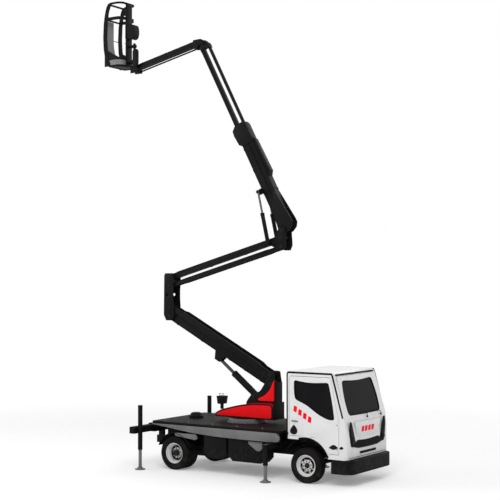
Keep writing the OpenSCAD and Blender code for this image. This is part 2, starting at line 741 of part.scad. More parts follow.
module boom_outer() at_origin() color("dimgray") {
  wall = 8;
  cheek_y = boom_w / 2 + 20;
  start = 190;
  mouth = boom_out_len - 20;
  run = 6;
  heading(boom_p, 180 - boom_ang) difference() {
    union() {
      box(start, boom_out_len, -boom_w / 2, boom_w / 2, -boom_back, boom_d / 2);
      slab(-boom_w / 2 - 15, boom_w / 2 + 15) polygon([[boom_out_len - 520, boom_d / 2 - 30],
        [boom_out_len - 430, boom_d / 2 + 60], [boom_out_len - 180, boom_d / 2 + 85], [boom_out_len - 60, boom_d / 2 + 70],
        [boom_out_len + 15, boom_d / 2 - 30], [boom_out_len + 15, -boom_back + 10], [boom_out_len - 60, -boom_back - 20],
        [boom_out_len - 520, -boom_back - 20]]);
      slab(-75, 75) polygon([[boom_out_len - 1450, -boom_back + 2], [boom_out_len - 1330, -boom_back - 85],
        [boom_out_len - 500, -boom_back - 60], [boom_out_len - 400, -boom_back - 10], [boom_out_len - 400, -boom_back + 2]]);
      slabs(boom_w / 2 - wall, cheek_y) polygon([[-30, -boom_back - 20], [60, -boom_back - 85], [160, -boom_back - 85],
        [start + 700, -boom_back + 5], [start + 700, -boom_back + 40], [start + 300, boom_d / 2 - 10],
        [start, boom_d / 2 + 6], [40, boom_drop + 78], [-40, boom_drop + 76], [-80, boom_drop + 20], [-80, -60]]);
      slab(-boom_w / 2 + wall, boom_w / 2 - wall) polygon([[start - 10, -boom_back + 2], [start + 12, -boom_back + 2],
        [start + 12, boom_d / 2 - 12], [start - 10, boom_d / 2 - 12]]);
    }
    box(start + 14, mouth, -boom_w / 2 + wall, boom_w / 2 - wall, -boom_back + wall, boom_d / 2 - wall);
    box(mouth - 1, boom_out_len + 30, -inner_w / 2 - run, inner_w / 2 + run, inner_z.x - run, inner_z.y + run);
    box(mouth - 1, boom_out_len + 30, -rail_w / 2 - run, rail_w / 2 + run, rail_z.x - run, rail_z.y + run);
    pin([0, boom_drop], pin_r + play, -200, 200);
  }
  // wear pads beside the inner section
  heading(boom_p, 180 - boom_ang)
    boxes(mouth - 120, mouth + 1, inner_w / 2 + seat_gap, boom_w / 2 - wall + 1, inner_z.x + 10, inner_z.y - 10);
  slabs(boom_w / 2 - 1, 150) boom_lug();
}

module boom_lug() {
  p = boom_eye;
  polygon([p + 60 * boom_dir + 60 * boom_up, p - 60 * boom_dir + 60 * boom_up, p - 60 * boom_dir - 20 * boom_up,
    p + 60 * boom_dir - 20 * boom_up]);
}

boom_span = boom_eye - head_eye;
boom_reach = norm(boom_span);

module boom_barrels() at_origin() color("dimgray") {
  d = boom_span / boom_reach;
  for (s = [-1, 1]) difference() {
    union() {
      bar(head_eye, head_eye + 700 * d, 45, s * side_y);
      pin(head_eye, 48, s * side_y - 35, s * side_y + 35);
    }
    bar(head_eye + 70 * d, head_eye + 800 * d, 24 + play, s * side_y);
    pin(head_eye, 24 + play, s * side_y - 50, s * side_y + 50);
  }
}

module boom_rods() at_origin() color("silver") {
  d = boom_span / boom_reach;
  for (s = [-1, 1]) difference() {
    union() {
      bar(head_eye + 440 * d, boom_eye, 24, s * side_y);
      pin(boom_eye, 40, s * side_y - 30, s * side_y + 30);
    }
    pin(boom_eye, 18, s * side_y - 40, s * side_y + 40);
  }
}

module boom_inner() at_origin() color("dimgray") {
  wall = 7;
  tail = 2330;
  tip_block = boom_len - 150;
  heading(boom_p, 180 - boom_ang) difference() {
    union() {
      box(tail, tip_block + 10, -inner_w / 2, inner_w / 2, inner_z.x, inner_z.y);
      box(tail, tip_block + 10, -rail_w / 2, rail_w / 2, rail_z.x, rail_z.y);
      box(tail, tail + 70, -inner_w / 2, inner_w / 2, rail_z.x, inner_z.y);
      slab(-tip_w / 2, tip_w / 2) polygon([[tip_block - 60, rail_z.x], [tip_block + 60, rail_z.x], [boom_len + 20, -70],
        [boom_len + 60, 0], [boom_len + 20, 70], [tip_block + 60, inner_z.y], [tip_block - 60, inner_z.y],
        [tip_block, inner_z.x], [tip_block, rail_z.y]]);
    }
    box(tail + 80, tip_block - 70, -inner_w / 2 + wall, inner_w / 2 - wall, inner_z.x + wall, inner_z.y - wall);
    pin([boom_len, 0], 25 + play, -100, 100);
  }
}

// ------------------------------------------------------------ jib and basket
jib_d = 110;
jib_w = 100;

module jib_base() at_origin() color("dimgray") {
  slabs(80, 98) polygon([tip_p + [60, 50], tip_p + [-20, 90], jib_p + [-50, 60], jib_p + [-70, 0],
    jib_p + [-60, -jib_step - 40], jib_p + [60, -jib_step - 40], jib_p + [110, -60], tip_p + [70, -40]]);
  pin(tip_p, 25, -80, 80);
  pin(jib_p, 22, -80, 80);
  pins(jib_p + jib_off, 18, 56, 80);
}

module jib() at_origin() color("dimgray") {
  heading(jib_p, 180 + jib_ang) difference() {
    union() {
      box(0, jib_len, -jib_w / 2, jib_w / 2, -jib_d / 2, jib_d / 2);
      for (x = [0, jib_len]) pin([x, 0], jib_d / 2, -jib_w / 2, jib_w / 2);
    }
    box(100, jib_len - 100, -jib_w / 2 + 6, jib_w / 2 - 6, -jib_d / 2 + 6, jib_d / 2 - 6);
    for (x = [0, jib_len]) pin([x, 0], 22 + play, -jib_w, jib_w);
  }
}

module jib_tie() at_origin() color("dimgray") {
  heading(jib_p + jib_off, 180 + jib_ang) difference() {
    union() {
      slabs(58, 72) polygon([[0, -18], [jib_len, -18], [jib_len, 18], [0, 18]]);
      for (x = [0, jib_len]) pins([x, 0], 28, 58, 72);
    }
    for (x = [0, jib_len]) pin([x, 0], 18 + play, -120, 120);
  }
}

post_r = 32;

module bracket() at_origin() color("dimgray") {
  p = jib_end;
  slabs(80, 98) polygon([p + [40, 40], p + [-60, 50], p + [-150, 40], p + [-150, -jib_step - 30], p + [70, -jib_step - 30],
    p + [70, -20]]);
  box(p.x - 150, p.x - 62, -80, 80, p.y - 60, p.y - 20);
  pin(p, 22, -80, 80);
  pins(p + jib_off, 18, 56, 80);
  translate([post_x, 0, p.y - 20]) cylinder(r = post_r, h = 620);
  // levelling gear case on the right-hand cheek
  slab(-150, -97) polygon([[p.x - 40, p.y + 10], [p.x + 60, p.y], [p.x + 110, p.y + 90], [p.x + 110, p.y + 380],
    [p.x + 70, p.y + 430], [p.x, p.y + 430], [p.x - 40, p.y + 380]]);
}

module rail_loop(z, r, inset) {
  x0 = basket_out - basket_x + inset;
  x1 = basket_out - inset;
  h = basket_y / 2 - inset;
  for (y = [-h, h]) translate([x0, y, z]) rotate([0, 90, 0]) cylinder(r = r, h = x1 - x0);
  for (x = [x0, x1]) translate([x, -h, z]) rotate([-90, 0, 0]) cylinder(r = r, h = 2 * h);
}

module basket() at_origin() color("dimgray") {
  post = 20;
  rail = 17;
  x0 = basket_out - basket_x + post;
  x1 = basket_out - post;
  h = basket_y / 2 - post;
  for (z = [basket_z + post, basket_z + 300, basket_z + basket_h - 390, basket_z + basket_h - post])
    rail_loop(z, rail, post);
  for (x = [x0, x1], y = [-h, h]) translate([x, y, basket_z]) cylinder(r = post, h = basket_h);
  difference() {
    union() {
      for (z = [basket_z + 80, basket_z + 480]) {
        translate([post_x, 0, z]) cylinder(r = post_r + 24, h = 60);
        box(x1 + 15, post_x - post_r - 5, -40, 40, z, z + 60);
      }
      box(x1 + 5, basket_out + 8, -70, 70, basket_z + 10, basket_z + 700);
      // control box hung outside on the boom side
      box(x1 + 5, basket_out + 8, -120, 120, basket_z + 690, basket_z + 1060);
      slab(-110, 110) polygon([[basket_out + 7, basket_z + 720], [basket_out + 150, basket_z + 670],
        [basket_out + 230, basket_z + 720], [basket_out + 260, basket_z + 860], [basket_out + 230, basket_z + 1010],
        [basket_out + 150, basket_z + 1050], [basket_out + 7, basket_z + 1020]]);
      slab(-5, 5) polygon([[x1 + 6, basket_z + 560], [x1 - 50, basket_z + 560], [x1 - 80, basket_z + 580],
        [x1 - 80, basket_z + 620], [x1 - 50, basket_z + 640], [x1 + 6, basket_z + 640]]);
    }
    translate([post_x, 0, basket_z]) cylinder(r = post_r + play, h = 700);
    pin([x1 - 45, basket_z + 600], harness_eye_r, -10, 10);
  }
}

module basket_panels() at_origin() color("gray") {
  t = 6;
  seat = 37.3;
  toe = 270;
  x0 = basket_out - basket_x + seat;
  x1 = basket_out - seat;
  h = basket_y / 2 - seat;
  z = basket_z + 17;
  corner = 7;
  box(x0, x1, -h, h, z, z + t);
  slabs(h - t, h) polygon([[x0 + corner, z + t - 1], [x1 - corner, z + t - 1], [x1 - corner, z + toe], [x0 + corner, z + toe]]);
  box(x0, x0 + t, -h + corner, h - corner, z + t - 1, basket_z + basket_h - 420);
  box(x1 - 150, x1, -150, 150, basket_z + basket_h - 400, basket_z + basket_h - 190);
}

frame();
axles();
springs();
engine();
side_boxes();
deck();
housings();
mudguards();
cab_shell();
bumper();
cab_glass();
interior();
slew_base();
door_right();
door_left();
door_glass_right();
door_glass_left();
knuckle_right();
knuckle_left();
tyre_front_right();
rim_front_right();
tyre_front_left();
rim_front_left();
tyre_rear_right();
rim_rear_right();
tyre_rear_left();
rim_rear_left();
beam_front_right();
beam_front_left();
beam_rear_right();
beam_rear_left();
jack_front_right();
jack_front_left();
jack_rear_right();
jack_rear_left();
turret();
turret_frame();
control_post();
lower_arm();
lower_tie();
lower_barrel();
lower_rod();
riser();
upper_arm();
upper_tie();
head();
boom_outer();
boom_barrels();
boom_rods();
boom_inner();
jib_base();
jib();
jib_tie();
bracket();
basket();
basket_panels();
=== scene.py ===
import json
import math

import bmesh
import bpy
from mathutils import Euler, Matrix, Vector


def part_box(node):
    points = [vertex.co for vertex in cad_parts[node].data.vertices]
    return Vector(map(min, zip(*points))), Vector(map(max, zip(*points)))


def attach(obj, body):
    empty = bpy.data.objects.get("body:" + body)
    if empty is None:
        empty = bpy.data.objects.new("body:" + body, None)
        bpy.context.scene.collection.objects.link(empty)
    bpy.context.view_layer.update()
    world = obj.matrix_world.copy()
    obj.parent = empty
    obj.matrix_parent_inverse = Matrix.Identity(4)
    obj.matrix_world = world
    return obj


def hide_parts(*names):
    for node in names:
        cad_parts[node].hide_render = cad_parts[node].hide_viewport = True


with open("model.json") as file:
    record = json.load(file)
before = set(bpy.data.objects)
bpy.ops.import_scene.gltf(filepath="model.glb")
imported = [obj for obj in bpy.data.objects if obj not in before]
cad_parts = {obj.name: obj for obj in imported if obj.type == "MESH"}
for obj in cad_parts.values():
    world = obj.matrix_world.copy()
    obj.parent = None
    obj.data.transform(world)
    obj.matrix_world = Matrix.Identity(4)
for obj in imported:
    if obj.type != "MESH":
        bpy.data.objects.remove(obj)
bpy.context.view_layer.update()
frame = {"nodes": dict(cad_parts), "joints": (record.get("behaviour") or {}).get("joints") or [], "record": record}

nodes = frame["nodes"]
scene = bpy.context.scene
print("frame loaded:", len(nodes), "nodes")

# places that everything else is measured from, metres in the row frame
wheelLow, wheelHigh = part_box("tyre_front_right")
frontX = (wheelLow.x + wheelHigh.x) / 2
rearLow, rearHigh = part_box("tyre_rear_right")
rearX = (rearLow.x + rearHigh.x) / 2
tyreR = wheelHigh.z / 2
deckLow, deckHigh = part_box("deck")
cabLow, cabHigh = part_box("cab_shell")
cabHalf = cabHigh.y
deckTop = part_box("slew_base")[0].z
deckHalf = deckHigh.y

# camera and light
view = {"place": (15.617, -22.73, 4.30), "turn": 33.62, "rise": 1.42, "lens": 86.4, "sensor": 36.0}
camData = bpy.data.cameras.new("camera")
camData.lens = view["lens"]
camData.sensor_width = view["sensor"]
camData.clip_end = 400
camera = bpy.data.objects.new("camera", camData)
camera.location = view["place"]
camera.rotation_euler = Euler((math.radians(90 + view["rise"]), 0, math.radians(view["turn"])))
scene.collection.objects.link(camera)
scene.camera = camera
scene.view_settings.view_transform = "Standard"

light = {"keyPower": 1650, "fillPower": 700, "rimPower": 480, "skyLight": 0.58}


def areaLamp(name, place, aim, size, power):
    data = bpy.data.lights.new(name, "AREA")
    data.shape = "RECTANGLE"
    data.size, data.size_y = size
    data.energy = power
    lamp = bpy.data.objects.new(name, data)
    lamp.location = place
    lamp.rotation_mode = "QUATERNION"
    lamp.rotation_quaternion = (Vector(aim) - Vector(place)).to_track_quat("-Z", "Y")
    scene.collection.objects.link(lamp)


areaLamp("keyLamp", (9, -13, 15), (0, 0, 3), (10, 10), light["keyPower"])
areaLamp("fillLamp", (-13, -9, 9), (0, 0, 3), (9, 9), light["fillPower"])
areaLamp("rimLamp", (2, 14, 13), (0, 0, 4), (10, 7), light["rimPower"])


# one helper writes every node tree
class Maker:
    def __init__(self, tree):
        self.tree = tree

    def add(self, kind, values=None, **settings):
        node = self.tree.nodes.new(kind)
        for key, value in settings.items():
            setattr(node, key, value)
        for key, value in (values or {}).items():
            self.feed(value, node.inputs[key])
        return node

    def feed(self, value, socket):
        if isinstance(value, bpy.types.NodeSocket):
            self.tree.links.new(value, socket)
        else:
            socket.default_value = value

    def to(self, a, b):
        self.tree.links.new(a, b)

    def math(self, operation, a, b=None, clamp=False):
        values = {0: a} if b is None else {0: a, 1: b}
        return self.add("ShaderNodeMath", values, operation=operation, use_clamp=clamp).outputs[0]

    def ramp(self, value, low, high):
        values = {"Value": value, "From Min": low, "From Max": high}
        return self.add("ShaderNodeMapRange", values, interpolation_type="SMOOTHSTEP").outputs["Result"]

    def noise(self, scale, detail=3, rough=0.55, squeeze=None):
        place = self.add("ShaderNodeTexCoord").outputs["Object"]
        if squeeze:
            place = self.add("ShaderNodeMapping", {"Scale": squeeze, "Vector": place}).outputs["Vector"]
        values = {"Detail": detail, "Roughness": rough, "Vector": place, "Scale": scale}
        return self.add("ShaderNodeTexNoise", values).outputs["Fac"]

    def mix(self, fac, a, b):
        return self.add("ShaderNodeMix", {"Factor": fac, 6: a, 7: b}, data_type="RGBA").outputs[2]


world = bpy.data.worlds.new("paleSky")
scene.world = world
world.use_nodes = True
m = Maker(world.node_tree)
m.tree.nodes.clear()
rays = m.add("ShaderNodeLightPath").outputs
seen = m.math("MAXIMUM", m.math("MAXIMUM", rays["Is Camera Ray"], rays["Is Transmission Ray"]), rays["Is Glossy Ray"])
glow = m.add("ShaderNodeMapRange", {"Value": seen, "To Min": light["skyLight"], "To Max": 1.0})
backing = m.add("ShaderNodeBackground", {"Color": (1, 1, 1, 1), "Strength": glow.outputs["Result"]})
m.add("ShaderNodeOutputWorld", {"Surface": backing.outputs[0]})


# shader groups that more than one finish uses
def shaderGroup(name, inputs, outputs, build):
    group = bpy.data.node_groups.new(name, "ShaderNodeTree")
    for label, kind, value in inputs:
        socket = group.interface.new_socket(label, in_out="INPUT", socket_type=kind)
        socket.default_value = value
    for label, kind in outputs:
        group.interface.new_socket(label, in_out="OUTPUT", socket_type=kind)
    maker = Maker(group)
    given = maker.add("NodeGroupInput").outputs
    result = maker.add("NodeGroupOutput").inputs
    build(maker, given, result)
    return group


number = "NodeSocketFloat"


# edge mask in noise patches: worn paint on every finish, and on the black finishes also a painted edge highlight
def buildEdgeWearAndHighlight(m, given, result):
    soft = m.add("ShaderNodeBevel", {"Radius": given["Radius"]}, samples=4)
    flat = m.add("ShaderNodeNewGeometry")
    dot = m.add("ShaderNodeVectorMath", {0: soft.outputs["Normal"], 1: flat.outputs["Normal"]},
                operation="DOT_PRODUCT")
    edge = m.ramp(m.math("SUBTRACT", 1.0, dot.outputs["Value"]), 0.015, 0.16)
    patches = m.ramp(m.noise(given["Patch"], 5, 0.65), 0.42, 0.66)
    worn = m.math("MULTIPLY", m.math("MULTIPLY", edge, patches), given["Amount"], clamp=True)
    m.to(worn, result["Mask"])
    m.to(soft.outputs["Normal"], result["Normal"])


edgeWear = shaderGroup(
    "edgeWear",
    [("Radius", number, 0.004), ("Amount", number, 0.6), ("Patch", number, 9.0)],
    [("Mask", number), ("Normal", "NodeSocketVector")],
    buildEdgeWearAndHighlight,
)


def buildGrain(m, given, result):
    fine = m.noise(given["Fine"], 3, 0.6)
    broad = m.noise(given["Broad"], 3, 0.5)
    m.to(fine, result["Height"])
    m.to(broad, result["Clouds"])


surfaceGrain = shaderGroup(
    "surfaceGrain",
    [("Fine", number, 220.0), ("Broad", number, 2.5)],
    [("Height", number), ("Clouds", number)],
    buildGrain,
)


def buildDust(m, given, result):
    up = m.add("ShaderNodeSeparateXYZ", {0: m.add("ShaderNodeNewGeometry").outputs["Normal"]})
    here = m.add("ShaderNodeSeparateXYZ", {0: m.add("ShaderNodeTexCoord").outputs["Object"]})
    settled = m.math("MULTIPLY", m.ramp(up.outputs["Z"], 0.55, 1.0), m.ramp(m.noise(3.5, 5, 0.65), 0.38, 0.72))
    splash = m.math("MULTIPLY", m.ramp(m.math("SUBTRACT", given["Splash"], here.outputs["Z"]), 0.0, 0.75),
                    m.ramp(m.noise(7.0, 5, 0.7), 0.40, 0.68))
    both = m.math("MAXIMUM", settled, splash)
    m.to(m.math("MULTIPLY", both, given["Amount"], clamp=True), result["Mask"])


roadDust = shaderGroup(
    "roadDust",
    [("Amount", number, 0.3), ("Splash", number, 0.9)],
    [("Mask", number)],
    buildDust,
)


def buildRuns(m, given, result):
    streak = m.noise(given["Scale"], 4, 0.6, squeeze=(1.0, 1.0, 0.05))
    m.to(m.math("MULTIPLY", m.ramp(streak, 0.50, 0.74), given["Amount"], clamp=True), result["Mask"])


rainRuns = shaderGroup(
    "rainRuns",
    [("Scale", number, 11.0), ("Amount", number, 0.2)],
    [("Mask", number)],
    buildRuns,
)
print("shader groups made")


# materials
def shade(hexWord):
    out = []
    for i in (0, 2, 4):
        c = int(hexWord[i:i + 2], 16) / 255
        out.append(c / 12.92 if c <= 0.04045 else ((c + 0.055) / 1.055) ** 2.4)
    return (*out, 1)


# the edge tone of blackPaint and boomPaint is a lighter grey: partly worn paint, partly a painted edge highlight
finishes = {
    "blackPaint": {"base": "0c0c0d", "rough": 0.56, "spec": 0.08, "worn": "3b3936", "wear": 0.40, "dust": 0.05,
                   "bump": 0.06},
    "boomPaint": {"base": "0c0c0d", "rough": 0.52, "spec": 0.08, "worn": "403e3b", "wear": 0.40, "dust": 0.02,
                  "bump": 0.05},
    "cabPaint": {"base": "dcdcdc", "vary": 0.015, "rough": 0.28, "spec": 0.40, "worn": "9b9a96", "wear": 0.10,
                 "dust": 0.05,
                 "runs": 0.05, "coat": 0.4, "fine": 420, "bump": 0.02},
    "redPaint": {"base": "ea0410", "vary": 0.02, "rough": 0.40, "spec": 0.06, "worn": "5a3230", "wear": 0.18,
                 "dust": 0.01,
                 "runs": 0.05, "coat": 0.12, "fine": 420, "bump": 0.02},
    "greyPaint": {"base": "6c6b6b", "rough": 0.46, "spec": 0.30, "worn": "98948e", "wear": 0.40, "dust": 0.10},
    "rimPaint": {"base": "d6d6d6", "rough": 0.36, "spec": 0.45, "worn": "7a6a5c", "wear": 0.30, "dust": 0.14},
    "trimPlastic": {"base": "0f0f10", "rough": 0.64, "spec": 0.10, "worn": "45433f", "wear": 0.18, "dust": 0.08,
                    "fine": 700, "bump": 0.35},
    "rubber": {"base": "100f0f", "rough": 0.86, "spec": 0.10, "worn": "302e2b", "wear": 0.20, "dust": 0.08,
               "fine": 500, "bump": 0.45},
    "castIron": {"base": "1b1a19", "rough": 0.74, "spec": 0.14, "worn": "5a4030", "wear": 0.45, "dust": 0.12,
                 "fine": 160, "bump": 0.6},
    "boltSteel": {"base": "8d8d8b", "rough": 0.42, "metal": 1.0, "worn": "5b4334", "wear": 0.4, "dust": 0.15},
    "rodChrome": {"base": "4a4a4c", "rough": 0.16, "metal": 1.0, "worn": "6a6a68", "wear": 0.2, "dust": 0.03,
                  "fine": 300, "bump": 0.05},
    "seatCloth": {"base": "3a3b3d", "rough": 0.92, "spec": 0.2, "worn": "5a5a5a", "wear": 0.2, "dust": 0.1,
                  "fine": 900, "bump": 0.8},
    "plateWhite": {"base": "e4e4df", "rough": 0.4, "spec": 0.4, "worn": "9a9891", "wear": 0.15, "dust": 0.1},
}


def blankMaterial(name):
    mat = bpy.data.materials.new(name)
    mat.use_nodes = True
    mat.node_tree.nodes.clear()
    m = Maker(mat.node_tree)
    return mat, m, m.add("ShaderNodeOutputMaterial").inputs["Surface"]


paint = {"coatRough": 0.12, "fine": 260, "round": 0.004, "runs": 0.08, "bump": 0.12, "bumpDepth": 0.002,
         "vary": 0.10, "dust": "8a8378"}  # used where a finish says nothing else


def paintMaterial(name, use):
    mat, m, surface = blankMaterial(name)
    skin = m.add("ShaderNodeBsdfPrincipled", {
        "Metallic": use.get("metal", 0.0), "Specular IOR Level": use.get("spec", 0.5),
        "Coat Weight": use.get("coat", 0.0), "Coat Roughness": paint["coatRough"]})
    grain = m.add("ShaderNodeGroup", node_tree=surfaceGrain)
    wear = m.add("ShaderNodeGroup", node_tree=edgeWear)
    dust = m.add("ShaderNodeGroup", node_tree=roadDust)
    runs = m.add("ShaderNodeGroup", node_tree=rainRuns)
    for group, key, value in ((grain, "Fine", use.get("fine", paint["fine"])), (wear, "Amount", use["wear"]),
                              (wear, "Radius", use.get("round", paint["round"])), (dust, "Amount", use["dust"]),
                              (runs, "Amount", use.get("runs", paint["runs"]))):
        group.inputs[key].default_value = value
    base = shade(use["base"])
    vary = use.get("vary", paint["vary"])  # how far the broad clouds shift the colour
    dark = tuple(c * (1 - vary * 1.3) for c in base[:3]) + (1,)
    pale = tuple(min(1, c * (1 + vary) + 0.0012) for c in base[:3]) + (1,)
    body = m.mix(m.ramp(grain.outputs["Clouds"], 0.3, 0.7), dark, pale)
    stained = m.mix(runs.outputs["Mask"], body, tuple(c * 0.62 + 0.01 for c in base[:3]) + (1,))
    # edges mixed towards the edge tone: worn paint, and on the black finishes a painted edge highlight
    chippedAndLitEdges = m.mix(wear.outputs["Mask"], stained, shade(use["worn"]))
    m.to(m.mix(dust.outputs["Mask"], chippedAndLitEdges, shade(paint["dust"])), skin.inputs["Base Color"])
    rough = m.math("ADD", use["rough"] - 0.07, m.math("MULTIPLY", grain.outputs["Clouds"], 0.14))
    rough = m.math("ADD", rough, m.math("MULTIPLY", dust.outputs["Mask"], 0.3), clamp=True)
    m.to(rough, skin.inputs["Roughness"])
    bump = m.add("ShaderNodeBump", {"Strength": use.get("bump", paint["bump"]), "Distance": paint["bumpDepth"],
                                    "Height": grain.outputs["Height"], "Normal": wear.outputs["Normal"]})
    m.to(bump.outputs["Normal"], skin.inputs["Normal"])
    m.to(skin.outputs[0], surface)
    return mat


finish = {name: paintMaterial(name, use) for name, use in finishes.items()}


def glassMaterial(name, tint, rough, see):
    mat, m, surface = blankMaterial(name)
    skin = m.add("ShaderNodeBsdfPrincipled", {"Transmission Weight": see, "IOR": 1.45, "Specular IOR Level": 0.04})
    smear = m.ramp(m.noise(5.0, 5, 0.7, squeeze=(1, 1, 0.4)), 0.45, 0.8)
    m.to(m.mix(smear, tint, tuple(min(1, c * 1.25 + 0.004) for c in tint[:3]) + (1,)), skin.inputs["Base Color"])
    m.to(m.math("ADD", rough, m.math("MULTIPLY", smear, 0.06)), skin.inputs["Roughness"])
    m.to(skin.outputs[0], surface)
    return mat


for name, tint, rough, see in (("tintedGlass", (0.005, 0.005, 0.006, 1), 0.07, 0.10),
                               ("lampGlass", (0.80, 0.80, 0.80, 1), 0.06, 0.75),
                               ("redLens", (0.55, 0.01, 0.01, 1), 0.15, 0.30),
                               ("amberLens", (0.85, 0.26, 0.01, 1), 0.15, 0.30)):
    finish[name] = glassMaterial(name, tint, rough, see)
print("materials made:", len(finish))

# floor: plain grey near the vehicle, white further out
ground = {"reach": 160, "grey": 0.82, "glow": 0.22, "whiteFrom": 7.0, "whiteTo": 16.0}
floorMesh = bpy.data.meshes.new("floor")
reach = ground["reach"]
floorMesh.from_pydata([(-reach, -reach, 0), (reach, -reach, 0), (reach, reach, 0), (-reach, reach, 0)], [],
                      [(0, 1, 2, 3)])
floor = bpy.data.objects.new("floor", floorMesh)
scene.collection.objects.link(floor)
floorMat, m, surface = blankMaterial("paleFloor")
matt = m.add("ShaderNodeBsdfDiffuse", {"Color": (ground["grey"], ground["grey"], ground["grey"], 1)})
cameraRay = m.add("ShaderNodeLightPath").outputs["Is Camera Ray"]
shine = m.add("ShaderNodeEmission", {"Color": (1, 1, 1, 1), "Strength": m.math("MULTIPLY", cameraRay, ground["glow"])})
close = m.add("ShaderNodeAddShader", {0: matt.outputs[0], 1: shine.outputs[0]})
far = m.add("ShaderNodeEmission", {"Strength": 1.0})
apart = m.add("ShaderNodeVectorMath", {0: m.add("ShaderNodeTexCoord").outputs["Object"]}, operation="LENGTH")
share = m.ramp(apart.outputs["Value"], ground["whiteFrom"], ground["whiteTo"])
m.to(m.add("ShaderNodeMixShader", {0: share, 1: close.outputs[0], 2: far.outputs[0]}).outputs[0], surface)
floorMesh.materials.append(floorMat)

# finish of the carried-over nodes
bySlot = {"black_paint": "blackPaint", "boom_paint": "boomPaint", "cab_paint": "cabPaint", "red_paint": "redPaint",
          "grey_paint": "greyPaint", "rim_paint": "rimPaint", "tinted_glass": "tintedGlass", "tyre": "rubber",
          "cast_iron": "castIron", "cab_trim": "trimPlastic", "chrome_rod": "rodChrome"}
slotOf = {part["node"]: part["material_slot"] for part in frame["record"]["subparts"]}
for name, node in nodes.items():
    node.data.materials.clear()
    node.data.materials.append(finish[bySlot[slotOf[name]]])


# shapes: a Part gathers closed shells on one mesh and rides on one body
def rect(u0, v0, u1, v1):
    return [(u0, v0), (u1, v0), (u1, v1), (u0, v1)]


def rounded(points, cut, steps=5):
    out = []
    count = len(points)
    for i, point in enumerate(points):
        here = Vector(point)
        before, after = Vector(points[i - 1]) - here, Vector(points[(i + 1) % count]) - here
        reach = cut[i] if isinstance(cut, (list, tuple)) else cut
        start = here + before.normalized() * min(reach, before.length * 0.48)
        end = here + after.normalized() * min(reach, after.length * 0.48)
        for s in range(steps + 1):
            t = s / steps
            out.append(tuple((1 - t) ** 2 * start + 2 * t * (1 - t) * here + t * t * end))
    return out


def grown(points, by):
    turn = sum(a[0] * b[1] - b[0] * a[1] for a, b in zip(points, points[1:] + points[:1]))
    out = []
    for i, point in enumerate(points):
        here = Vector(point)
        a = (here - Vector(points[i - 1])).normalized()
        b = (Vector(points[(i + 1) % len(points)]) - here).normalized()
        side = Vector((a.y + b.y, -a.x - b.x)) * (1 if turn > 0 else -1)
        side.normalize()
        lean = max(0.45, side.dot(Vector((a.y, -a.x)) * (1 if turn > 0 else -1)))
        out.append(tuple(here + side * by / lean))
    return out


def near(points):
    return [(frontX + x, z) for x, z in points]  # outlines are written from the front axle


def flat(y):
    return lambda u, v, w: Vector((u, y + w, v))


def lying(u, v, w):
    return Vector((u, v, w))


def line(a, b, count):
    a, b = Vector(a), Vector(b)
    return [a.lerp(b, i / (count - 1)) for i in range(count)]


def smoothPath(points, steps=6):
    pts = [Vector(p) for p in points]
    out = []
    for i in range(len(pts) - 1):
        p0, p1, p2, p3 = pts[max(0, i - 1)], pts[i], pts[i + 1], pts[min(len(pts) - 1, i + 2)]
        for s in range(steps):
            t = s / steps
            out.append(0.5 * (2 * p1 + (p2 - p0) * t + (2 * p0 - 5 * p1 + 4 * p2 - p3) * t * t
                              + (3 * p1 - p0 - 3 * p2 + p3) * t ** 3))
    return out + [pts[-1]]


def around(first, second, angle):
    return first * math.cos(angle) + second * math.sin(angle)


def joined(node):
    return "".join(word.title() for word in node.split("_"))


bevel = {"profile": 0.6, "newShell": 28, "copiedShell": 32, "merge": 1e-5}  # shells in degrees, merge in metres


